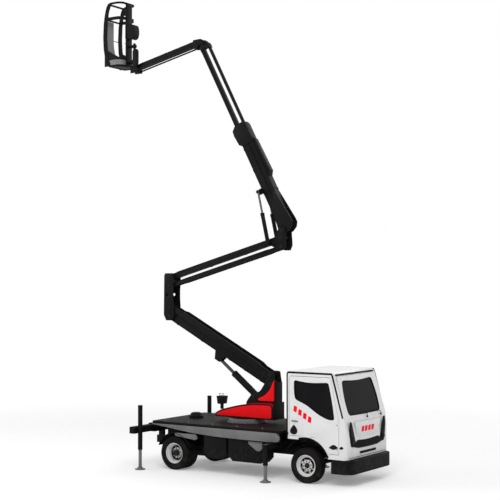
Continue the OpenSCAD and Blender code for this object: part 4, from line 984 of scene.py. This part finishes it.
for i in range(cabLook["bars"]):
    y = -0.29 + i * 0.145
    p.use("redPaint").plate([(y, 1.100), (y + 0.110, 1.100), (y + 0.135, 1.210), (y + 0.025, 1.210)], facePlace, 0.003,
                            0.0075)
p.done()
rowOf("slat", "chassis", "trimPlastic", cabLook["slats"], (0.0, 0.0, 0.028), (frontFace + 0.010, 0.0, 0.800))
print("cab made")

# doors: pressed skin, curved glass line with a rubber seal, handle, flat drop, hinge bolts and slanted bars
window = [(-0.255, 1.765), (0.02, 1.660), (0.34, 1.455), (0.565, 1.372), (0.705, 1.378), (0.640, 1.80), (0.560, 2.150),
          (0.10, 2.120), (-0.280, 2.172), (-0.285, 1.95)]
windowCuts = [0.06, 0.12, 0.14, 0.10, 0.06, 0.2, 0.06, 0.28, 0.05, 0.12]
skin = [(-0.345, 1.735), (0.02, 1.560), (0.34, 1.385), (0.565, 1.300), (0.752, 1.305), (0.690, 1.80), (0.592, 2.225),
        (0.10, 2.228), (-0.350, 2.228), (-0.355, 1.95)]
for word, side in bothSides:
    body = f"door_{word}"
    p = Part(f"door{word.title()}Shown", body, "cabPaint", "cab_paint", (body,)).copyOf(body, 0.003)
    wall = flat(side * cabHalf)
    put = lambda outline, w0, w1, soft=0.0, hole=None: p.plate(outline, wall, *sorted((side * w0, side * w1)), soft,
        hole)
    glassLine = rounded(near(window), windowCuts)
    put(rounded(near(skin), windowCuts), -0.010, 0.0035, 0.0, glassLine)
    p.use("trimPlastic")
    put(glassLine, -0.020, 0.006, 0.0, grown(glassLine, -cabLook["seal"]))
    drop = smoothPath([(x, z, 0) for x, z in near([(-0.290, 1.225), (-0.235, 1.175), (-0.200, 1.105), (-0.225, 1.040),
                                                   (-0.300, 1.018), (-0.368, 1.050), (-0.378, 1.100), (-0.350, 1.155),
                                                   (-0.290, 1.225)])], 4)[:-1]
    drop = [(v.x, v.y) for v in drop]
    put(drop, -0.006, 0.004)
    p.use("blackPaint")
    put(drop, -0.004, 0.008, 0.002, grown(drop, -0.010))
    p.use("trimPlastic")
    put(near(lens(0.565, 0.790, 0.800, 0.062, 0.010)), -0.004, 0.003)
    y = side * (cabHalf + 0.020)
    p.tube(smoothPath([(frontX - 0.33, side * cabHalf, 1.30), (frontX - 0.325, y, 1.305), (frontX - 0.24, y, 1.305),
                       (frontX - 0.20, y, 1.303), (frontX - 0.195, side * cabHalf, 1.30)], 4), 0.009, 10)
    p.use("redPaint")
    for i in range(cabLook["bars"]):
        x, z = -0.300 + i * 0.118, 1.575 - i * 0.068
        put(near([(x, z - 0.060), (x + 0.078, z - 0.090), (x + 0.096, z + 0.030), (x + 0.018, z + 0.060)]), -0.002,
            0.0045)
    p.done()
    for z in (0.775, 1.285):
        rowOf("smallBolt", body, "boltSteel", 2, (0.0, 0.0, 0.035), (frontX + 0.775, side * (cabHalf + 0.001), z),
              (-side * math.pi / 2, 0.0, 0.0))
print("doors made")

# bumper: heavy rounded apron with end steps, brackets, arch liners and dark fog lamps
bumperLook = {"low": 0.262, "high": 0.556, "half": cabHalf + 0.011, "reach": 1.103, "wall": 0.060}
b = bumperLook
p = Part("bumperShown", "chassis", "blackPaint", "black_paint", ("bumper",))
outer = rounded(rect(frontX + 0.615, -b["half"], frontX + b["reach"], b["half"]),
                [0.005, 0.24, 0.24, 0.005], 10)
loop = [(frontX + 0.615, -b["half"])] + outer[11:33] + [(frontX + 0.615, b["half"]),
                                                        (frontX + 0.615, b["half"] - b["wall"])] + \
       [(frontX + b["reach"] - b["wall"], b["half"] - b["wall"] - 0.05), (frontX + b["reach"] - b["wall"],
           -b["half"] + b["wall"] + 0.05)] + \
       [(frontX + 0.615, -b["half"] + b["wall"])]
p.plate(loop, lying, b["low"], b["high"], 0.022, None, 4)
p.slabs(near(arcBand(0, tyreR, 0.5627, 0.5747, 32, 150)), 0.67, cabHalf - 0.002)
p.slabs(rect(frontX + 0.902, 0.30, frontX + 0.925, 0.67), 0.35, 0.42, 0.003)
p.slabs(rect(frontX + 0.905, 0.30, frontX + 1.045, 0.36), 0.35, 0.42, 0.003)
p.block((frontX + 0.90, -0.82, b["high"] - 0.018), (frontX + b["reach"] - 0.03, 0.82, b["high"] - 0.006), 0.003)
bumperFace = lambda u, v, w: Vector((frontX + b["reach"] + w, u, v))
p.use("trimPlastic").plate(rounded([(-0.34, 0.325), (0.34, 0.325), (0.40, 0.405), (0.34, 0.470), (-0.34, 0.470),
                                    (-0.40, 0.405)], 0.04), bumperFace, -0.006, 0.0015)
for side in (-1, 1):
    p.use("trimPlastic").turned([(0.0, -0.01), (0.062, -0.01), (0.062, 0.0015), (0.052, 0.0015), (0.048, -0.006),
                                 (0, -0.006)], (frontX + b["reach"], side * 0.58, 0.405), (1, 0, 0), 32)
    p.use("tintedGlass").turned([(0, -0.008), (0.048, -0.008), (0.046, -0.002), (0.02, 0.001), (0, 0.0015)],
                                (frontX + b["reach"], side * 0.58, 0.405), (1, 0, 0), 28)
    p.use("trimPlastic").plate(rounded(rect(frontX + 0.66, side * 0.915, frontX + 0.86, side * 0.885), 0.008),
                               lying, b["high"] - 0.004, b["high"] + 0.003, 0.001)
p.done()
rowOf("slat", "chassis", "trimPlastic", 3, (0.0, 0.0, 0.034), (frontX + b["reach"] - 0.003, 0.0, 0.362))
print("bumper made")

# interior: dash, wheel, lever and two padded seats with sewn edges
seatLook = {"wide": 0.47, "deep": 0.50, "thick": 0.15, "backTall": 0.56, "backThick": 0.12, "crown": 5.0}
floorZ = 0.975
p = Part("dash", "chassis", "trimPlastic", "cab_trim", ("interior",))
p.slab(near([(0.620, floorZ + 0.36), (0.620, floorZ + 0.46), (0.660, floorZ + 0.485), (0.700, floorZ + 0.490),
             (0.843, 1.350), (0.900, floorZ + 0.15), (0.905, floorZ), (0.86, floorZ), (0.85, floorZ + 0.35)]), -0.78,
       0.78, 0.006)
p.block((frontX + 0.600, 0.28, floorZ + 0.36), (frontX + 0.64, 0.62, floorZ + 0.47), 0.012)
p.use("rubber").block((frontX - 0.40, -0.80, floorZ), (frontX + 0.86, 0.80, floorZ + 0.008), 0.002)
p.use("trimPlastic")
centre, tilt = Vector((frontX + 0.460, 0.45, floorZ + 0.60)), Vector((-math.sin(math.radians(60)), 0,
    math.cos(math.radians(60))))
across, up = Vector((0, 1, 0)), tilt.cross(Vector((0, 1, 0)))
p.turned([(0.184, 0), (0.188, 0.010), (0.200, 0.016), (0.212, 0.010), (0.216, 0), (0.212, -0.010), (0.200, -0.016),
          (0.188, -0.010)], centre, tilt, 56, ring=True)
p.turned([(0, -0.02), (0.055, -0.02), (0.060, 0.0), (0.045, 0.018), (0, 0.022)], centre, tilt, 32)
for a in (90, 210, 330):
    out = around(across, up, math.radians(a))
    p.tube([centre + out * 0.04, centre + out * 0.195], 0.012, 10)
p.tube([centre - tilt * 0.24, centre], 0.028, 20)
p.tube(smoothPath([(frontX + 0.42, 0.02, floorZ), (frontX + 0.40, 0.02, floorZ + 0.22),
                   (frontX + 0.36, 0.02, floorZ + 0.36)], 5), 0.010)
p.turned([(0, -0.03), (0.020, -0.028), (0.028, 0), (0.022, 0.026), (0, 0.030)], (frontX + 0.355, 0.02, floorZ + 0.38),
         (0, 0, 1), 20)
for y in (-0.45, 0.45):
    p.block((frontX - 0.30, y - 0.20, floorZ), (frontX + 0.13, y + 0.20, floorZ + 0.25), 0.012)
p.done()


def cushion(name, centre, size, lean):
    bm = bmesh.new()
    bmesh.ops.create_cube(bm, size=2)
    bmesh.ops.subdivide_edges(bm, edges=bm.edges[:], cuts=9, use_grid_fill=True)
    power = seatLook["crown"]
    turn = Matrix.Rotation(math.radians(lean), 3, "Y")
    for vert in bm.verts:
        a, b, c = vert.co
        round_ = (abs(a) ** power + abs(b) ** power + abs(c) ** power) ** (-1 / power)
        pull = 1 - 0.035 * (1 - abs(c)) * (1 - (a * b) ** 2)
        channel = 0.022 * max(0.0, 1 - abs(abs(b) - 0.55) / 0.10) if size[2] >= size[0] or c > 0.9 else 0.0
        point = Vector((a * size[0] * pull, b * size[1] * pull, c * size[2])) * round_
        crown = 1 + 0.10 * (1 - a * a) * (1 - b * b)
        point.z *= crown if size[2] < size[0] else 1
        point.x *= 1 + 0.16 * (1 - b * b) * (1 - c * c) if size[2] > size[0] else 1
        vert.co = Vector(centre) + turn @ (point * (1 - channel))
    bmesh.ops.recalc_face_normals(bm, faces=bm.faces)
    part = Part(name, "chassis", "seatCloth", "cab_trim")
    part.bm.free()
    part.bm = bm
    for face in bm.faces:
        face.material_index = 0
    obj = part.done(60)
    subdivide = obj.modifiers.new("smooth", "SUBSURF")
    subdivide.levels = subdivide.render_levels = 1


for word, y in (("Right", -0.45), ("Left", 0.45)):
    cushion("seatBase" + word, (frontX - 0.080, y, floorZ + 0.315), (seatLook["deep"] / 2, seatLook["wide"] / 2,
        seatLook["thick"] / 2), 0)
    cushion("seatBack" + word, (frontX - 0.315, y, floorZ + 0.665), (seatLook["backThick"] / 2,
        seatLook["wide"] / 2 - 0.015, seatLook["backTall"] / 2), -8)
print("interior made")

# turret: red rounded body with dark edging, dark cheeks and a red curved gusset
foot = Vector((pivots["lower_lift"].x, 0, pivots["lower_lift"].z + 0.105))
turretLook = {"half": 0.230, "edging": 0.034, "floor": deckTop + 0.100}
zT = turretLook["floor"]
byFoot = lambda points: [(foot.x + x, z) for x, z in points]
body = rounded(byFoot([(0.12, zT + 0.002), (0.12, zT + 0.36), (-0.44, zT + 0.35), (-0.80, zT + 0.29),
                       (-1.24, zT + 0.18), (-1.40, zT + 0.11), (-1.45, zT + 0.05), (-1.42, zT + 0.002)]),
               [0.08, 0.11, 0.15, 0.15, 0.12, 0.06, 0.03, 0.02])
p = Part("turretBody", "turret", "redPaint", "red_paint", ("turret",)).slab(body, -turretLook["half"],
    turretLook["half"], 0.010, None, 3)
for side in (-1, 1):
    edge = flat(side * turretLook["half"])
    p.use("blackPaint").plate(grown(body, -0.002), edge, *sorted((-side * 0.006, side * 0.003)), 0.0,
                              grown(body, -turretLook["edging"]))
cheek = byFoot([(0.118, zT + 0.30), (0.125, foot.z - 0.06), (0.09, foot.z + 0.18), (-0.06, foot.z + 0.19),
                (-0.13, foot.z - 0.06), (-0.26, foot.z - 0.25), (-0.37, foot.z - 0.325), (-0.48, foot.z - 0.32),
                (-0.53, foot.z - 0.38), (-0.64, foot.z - 0.52), (-0.64, zT + 0.30)])
p.use("blackPaint").slabs(rounded(cheek, 0.03), 0.125, 0.145, 0.003)
gusset = byFoot([(0.112, zT + 0.415), (0.114, foot.z - 0.01), (0.075, foot.z - 0.07), (0.030, foot.z - 0.18),
                 (-0.05, foot.z - 0.285), (-0.16, foot.z - 0.370), (-0.275, foot.z - 0.415), (-0.315, foot.z - 0.445),
                 (-0.29, zT + 0.415)])
p.use("redPaint").slabs(rounded(gusset, [0.03, 0.01, 0.04, 0.06, 0.06, 0.06, 0.03, 0.02, 0.02]), 0.142, 0.164, 0.005)
p.done()
Part("turretFrameShown", "turret", "blackPaint", "black_paint", ("turret_frame",)).copyOf("turret_frame", 0.004).done()
postLow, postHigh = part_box("control_post")
p = Part("controlPostShown", "turret", "blackPaint", "black_paint", ("control_post",)).copyOf("control_post", 0.008, 3)
for i in range(4):
    x, y = postLow.x + 0.035 + 0.04 * i, postLow.y + 0.07
    p.use("boltSteel").tube([(x, y, postHigh.z - 0.01), (x + 0.004, y - 0.008, postHigh.z + 0.045)], 0.004, 8)
    p.use("trimPlastic").turned([(0, -0.010), (0.009, -0.006), (0.010, 0.004), (0.006, 0.011), (0, 0.012)],
                                (x + 0.005, y - 0.009, postHigh.z + 0.05), (0, 0, 1), 14)
p.done()


pins = {"boom": (0.145, 0.030), "head": (0.140, 0.030), "jib": (0.098, 0.020)}  # half length and radius


def pinEnds(part, pivot, kind, rise=0.0):
    x, z = pivots[pivot].x, pivots[pivot].z + rise
    y, r = pins[kind]
    for side in (-1, 1):
        part.use("castIron").turned([(0, -0.002), (r * 1.45, -0.002), (r * 1.45, 0.006), (r * 1.30, 0.010),
                                     (r * 0.55, 0.010), (r * 0.45, 0.006), (0, 0.006)],
                                    (x, side * y, z), (0, side, 0), 28)
        ringOf("smallBolt", part.body, "castIron", (x, side * (y + 0.009), z), (0, side, 0), 4, r * 0.95, 0.6)


p = Part("turretPins", "turret", "castIron", "cast_iron")
pinEnds(p, "lower_lift", "boom")
pinEnds(p, "lower_lift", "boom", 0.21)
pinEnds(p, "lower_barrel_pivot", "boom")
p.done()
print("turret made")

# arms: softened boxes with pin ends, pipes under them, weld bands and cylinder caps
armLook = {"soft": 0.007, "pipe": 0.009}


def alongArm(start, end):
    ahead = (end - start).normalized()
    rise = Vector((-ahead.z, 0, ahead.x))
    if rise.z < 0:
        rise = -rise
    return lambda s, w, y: start + ahead * s + rise * w + Vector((0, y, 0)), (end - start).length


def bands(p, at, starts, wide, tall, half, soft):
    for s in starts:
        p.use("blackPaint").plate(rect(s, -tall, s + wide, tall), at, -half, half, soft)


def armPart(node, look="boomPaint", soft=None):
    word = joined(node)
    return Part(word[0].lower() + word[1:] + "Shown", node, look, slotOf[node], (node,)).copyOf(node,
        armLook["soft"] if soft is None else soft)


at, reach = alongArm(pivots["lower_lift"], pivots["riser_level"])
p = armPart("lower_arm")
for y in (-0.03, 0.03):
    p.use("blackPaint").tube([at(s, -0.101, y) for s in (0.22, 0.9, 1.30)], armLook["pipe"], 10)
bands(p, at, (0.26, 0.75, 1.22, 2.10, 2.90), 0.05, 0.097, 0.084, 0.003)
p.done()
armPart("lower_tie", soft=0.004).done()
at, reach = alongArm(pivots["upper_lift"], pivots["head_level"])
p = armPart("upper_arm")
bands(p, at, (0.20, 1.10, 2.10, reach - 0.26), 0.04, 0.070, 0.073, 0.002)
for y in (-0.025, 0.025):
    p.use("blackPaint").tube([at(s, 0.074, y) for s in (0.16, 1.6, reach - 0.16)], armLook["pipe"], 10)
p.done()
armPart("upper_tie", soft=0.004).done()
p = armPart("riser")
pinEnds(p, "riser_level", "boom")
pinEnds(p, "riser_level", "boom", 0.21)
pinEnds(p, "upper_lift", "boom")
pinEnds(p, "upper_tie_pivot", "boom")
p.done()
p = armPart("head")
pinEnds(p, "head_level", "head")
pinEnds(p, "head_level", "head", -0.20)
pinEnds(p, "main_lift", "head")
p.done()
boomDir = Vector(next(j["axis"] for j in frame["joints"] if j["name"] == "telescope")).normalized()
boomUp = Vector((boomDir.z, 0, -boomDir.x))
boomFoot = pivots["main_lift"] + boomUp * 0.080
boomAt = lambda s, w, y: boomFoot + boomDir * s - boomUp * w + Vector((0, y, 0))
p = armPart("boom_outer", soft=0.009)
for s in (0.95, 1.55, 2.10):
    p.use("blackPaint").plate(rect(-0.169, -0.099, 0.134, 0.099), lambda u, v, w: boomAt(s + w, u, v), 0.0, 0.05, 0.0,
                              rect(-0.163, -0.093, 0.128, 0.093))
for y in (-0.11, 0.11):
    p.use("blackPaint").tube([boomAt(s, w, y) for s, w in ((0.30, -0.05), (1.0, -0.04), (2.15, -0.04), (2.22, -0.02))],
                             0.008, 10)
p.done()
for side in (-1, 1):
    for w in (-0.12, 0.09):
        rowOf("smallBolt", "boom_outer", "castIron", 6, (0.0, 0.0, 0.075), boomAt(2.26, w, side * 0.111),
              (0.0, math.atan2(boomDir.x, boomDir.z), 0.0))
armPart("boom_inner", soft=0.005).done()
p = armPart("jib_base", soft=0.004)
for name in ("jib_base_level", "jib_lift"):
    pinEnds(p, name, "jib")
p.done()
p = armPart("jib", soft=0.006)
at, reach = alongArm(pivots["jib_lift"], pivots["basket_level"])
bands(p, at, (0.16, 0.9, 1.62), 0.03, 0.058, 0.053, 0.002)
p.done()
armPart("jib_tie", soft=0.003).done()
p = armPart("bracket", soft=0.008)
pinEnds(p, "basket_level", "jib")
p.done()
for node, axis, ends in (("lower_barrel", Vector((-0.786355, 0, 0.617775)),
                          [(Vector((pivots["lower_barrel_pivot"].x, 0, pivots["lower_barrel_pivot"].z)), 0.075,
                            0.80)]),
                         ("boom_barrels", Vector((-0.222196, 0, 0.975002)),
                          [(pivots["boom_barrel_pivot"] + Vector((0, y, 0)), 0.045, 0.70) for y in (-0.205, 0.205)])):
    p = armPart(node, "blackPaint", 0.003)
    for start, r, length in ends:
        p.turned([(r - 0.004, 0), (r + 0.004, 0.003), (r + 0.004, 0.047), (r - 0.004, 0.050)],
                 start + axis * (length - 0.055), axis, 36, ring=True)
        p.tube([start + axis * 0.22 + Vector((0.6, 0, 0.7)).normalized() * (r + 0.005),
                start + axis * (length - 0.04) + Vector((0.6, 0, 0.7)).normalized() * (r + 0.005)], 0.005, 8)
    p.done()
print("arms made")

# basket: bent hoops on a middle column, sloped lower panel, toe boards, floor and control box
basketLook = {"tube": 0.026, "hoopY": 0.282}
k = basketLook
basketLow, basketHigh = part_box("basket")
outX, nearX, zB = basketLow.x + 0.032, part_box("basket_panels")[1].x + 0.006, basketLow.z


def planPath(reachX, half, corner, steps=8):
    path = line((outX + 0.012, -half, 0), (reachX - corner, -half, 0), 12)
    path += [Vector((reachX - corner + corner * math.sin(a), -half + corner - corner * math.cos(a), 0))
             for a in [math.pi / 2 * i / steps for i in range(1, steps + 1)]]
    path += line((reachX, -half + corner, 0), (reachX, half - corner, 0), 8)[1:]
    path += [Vector((reachX - corner + corner * math.cos(a), half - corner + corner * math.sin(a), 0))
             for a in [math.pi / 2 * i / steps for i in range(1, steps + 1)]]
    return path + line((reachX - corner, half, 0), (outX + 0.012, half, 0), 12)[1:]


def ribbon(part, path, low, high, inside, outside):
    rows = []
    total = len(path) - 1
    for i, point in enumerate(path):
        ahead = (path[min(i + 1, total)] - path[max(i - 1, 0)]).normalized()
        side = Vector((ahead.y, -ahead.x, 0))
        s = i / total
        rows.append([part.bm.verts.new(point + side * w + Vector((0, 0, z(s)))) for w, z in
                     ((inside, low), (outside, low), (outside, high), (inside, high))])
    part.loft(rows)


level = lambda z: (lambda s: z)
plan = planPath(nearX, k["hoopY"], 0.13)
p = Part("basketFrame", "basket", "boomPaint", "boom_paint", ("basket", "basket_panels"))
sideUp = [(outX + 0.185, zB + 0.028), (outX + 0.118, zB + 0.080), (outX + 0.064, zB + 0.22), (outX + 0.018, zB + 0.45),
          (outX, zB + 0.73), (outX + 0.010, zB + 1.10), (outX + 0.060, zB + 1.38), (outX + 0.115, zB + 1.525),
          (outX + 0.200, zB + 1.572)]
rise = smoothPath([(x, -k["hoopY"], z) for x, z in sideUp], 5)
topRun = [Vector((v.x, v.y, zB + 1.572)) for v in plan if outX + 0.19 < v.x]
p.tube(rise + topRun + [Vector((v.x, -v.y, v.z)) for v in reversed(rise)], k["tube"], 14)
p.tube([Vector((v.x, v.y, zB + 0.030)) for v in plan if v.x > outX + 0.15], 0.026, 12)
for x, z, r in ((outX + 0.185, zB + 0.028, 0.024), (outX + 0.012, zB + 1.20, 0.022), (outX + 0.12, zB + 1.556, 0.024)):
    p.tube([(x, -k["hoopY"], z), (x, k["hoopY"], z)], r, 12)
ribbon(p, plan[1:-1], level(zB + 1.160), level(zB + 1.235), -0.010, 0.014)
slope = lambda s: zB + 0.205 + 0.27 * max(0.0, (abs(s - 0.5) * 2 - 0.30) / 0.70) ** 1.3
ribbon(p, plan, level(zB + 0.030), slope, -0.004, 0.006)
ribbon(p, plan, lambda s: slope(s) - 0.030, lambda s: slope(s) + 0.012, -0.014, 0.016)
for side in (-1, 1):
    p.slab(rounded([(outX + 0.110, zB + 0.03), (outX + 0.225, zB + 0.03), (outX + 0.150, zB + 0.22),
                    (outX + 0.095, zB + 0.50), (outX + 0.080, zB + 0.75), (outX + 0.092, zB + 1.12),
                    (outX + 0.135, zB + 1.38), (outX + 0.200, zB + 1.54), (outX + 0.130, zB + 1.55),
                    (outX + 0.050, zB + 1.38), (outX - 0.014, zB + 1.10), (outX - 0.030, zB + 0.75),
                    (outX - 0.012, zB + 0.45), (outX + 0.042, zB + 0.20)], 0.05),
           side * k["hoopY"] - 0.018, side * k["hoopY"] + 0.018, 0.006)
column = nearX + 0.005
p.block((column - 0.010, -0.100, zB + 0.010), (basketHigh.x - 0.246, 0.100, zB + 1.575), 0.010)
p.block((column - 0.004, -0.120, zB + 0.700), (column + 0.024, 0.120, zB + 1.050), 0.010)
lump = rounded([(column + 0.016, zB + 0.720), (column + 0.165, zB + 0.670), (column + 0.245, zB + 0.720),
                (column + 0.272, zB + 0.860), (column + 0.245, zB + 1.010), (column + 0.165, zB + 1.050),
                (column + 0.016, zB + 1.020)], [0.01, 0.06, 0.07, 0.09, 0.07, 0.06, 0.01])
p.slab(lump, -0.105, 0.105, 0.022, None, 4)
post = Vector((pivots["basket_turn"].x, 0, 0))
for z in (zB + 0.080, zB + 0.480):
    p.turned([(0.0325, 0), (0.054, 0), (0.056, 0.004), (0.056, 0.056), (0.054, 0.060), (0.0325, 0.060)],
             post + Vector((0, 0, z)), (0, 0, 1), 36, ring=True)
    p.block((column, -0.040, z), (post.x - 0.038, 0.040, z + 0.060), 0.005)
eyeAt = (column - 0.055, zB + 0.600)
circle = lambda r, n=28: [(eyeAt[0] + r * math.cos(2 * math.pi * i / n),
                           eyeAt[1] + r * math.sin(2 * math.pi * i / n)) for i in range(n)]
p.slab(circle(0.036), -0.005, 0.005, 0.0015, circle(0.016))
p.slab([(eyeAt[0] + 0.030, eyeAt[1] - 0.022), (column + 0.002, eyeAt[1] - 0.035), (column + 0.002, eyeAt[1] + 0.035),
        (eyeAt[0] + 0.030, eyeAt[1] + 0.022)], -0.005, 0.005)
p.use("greyPaint")
inset = plan[2:-2]
fade = lambda s: math.sin(math.pi / 2 * min(1.0, min(s, 1 - s) / 0.10 + 0.05))
ribbon(p, inset, lambda s: zB + 0.118 - 0.062 * fade(s), lambda s: zB + 0.118 + 0.062 * fade(s), 0.005, 0.012)
bend = lambda z: outX + 0.016 + 0.10 * max(0.0, (zB + 0.70 - z) / 0.50) ** 1.6
for i in range(8):
    z = zB + 0.20 + i * 0.12125
    p.plate(rect(-0.262, z, 0.045, z + 0.12125), lambda u, v, w: Vector((bend(v) + w, u, v)), -0.004, 0.004)
p.use("blackPaint").plate(rect(outX + 0.13, -0.270, nearX - 0.012, 0.270),
                          lying, zB + 0.017, zB + 0.023, 0.0)
p.use("trimPlastic").block((column - 0.060, -0.100, zB + 1.270), (column - 0.006, 0.100, zB + 1.400), 0.008)
for y in (-0.06, 0.0, 0.06):
    p.use("boltSteel").tube([(column - 0.035, y, zB + 1.395), (column - 0.040, y, zB + 1.432)], 0.004, 8)
    p.use("trimPlastic").turned([(0, -0.008), (0.008, -0.005), (0.009, 0.004), (0.005, 0.009), (0, 0.010)],
                                (column - 0.040, y, zB + 1.436), (0, 0, 1), 12)
p.use("boltSteel").tube([(outX + 0.012, 0.050, zB + 0.72), (outX + 0.012, k["hoopY"], zB + 0.72)], 0.011, 10)
p.done()
for y in (-0.13, 0.13):
    rowOf("tread", "basket", "blackPaint", 14, (0.030, 0.0, 0.0), (outX + 0.16, y, zB + 0.022))
for z in (zB + 0.30, zB + 0.60, zB + 1.12, zB + 1.45):
    for y in (-0.070, 0.070):
        rowOf("smallBolt", "basket", "castIron", 2, (0.0, 0.0, 0.04), (column - 0.010, y, z), (0.0, -math.pi / 2, 0.0))
print("basket made")

# bolts, blocks and studs gathered into one mesh for each body and finish
for (body, look), meshes in hardware.items():
    gathered = bmesh.new()
    for mesh in meshes:
        gathered.from_mesh(mesh)
        bpy.data.meshes.remove(mesh)
    for face in gathered.faces:
        face.material_index = 0
    part = Part(f"fixings{joined(body)}{look[0].upper()}{look[1:]}", body, look)
    part.bm.free()
    part.bm = gathered
    part.done()
print("repeats gathered:", len(hardware))
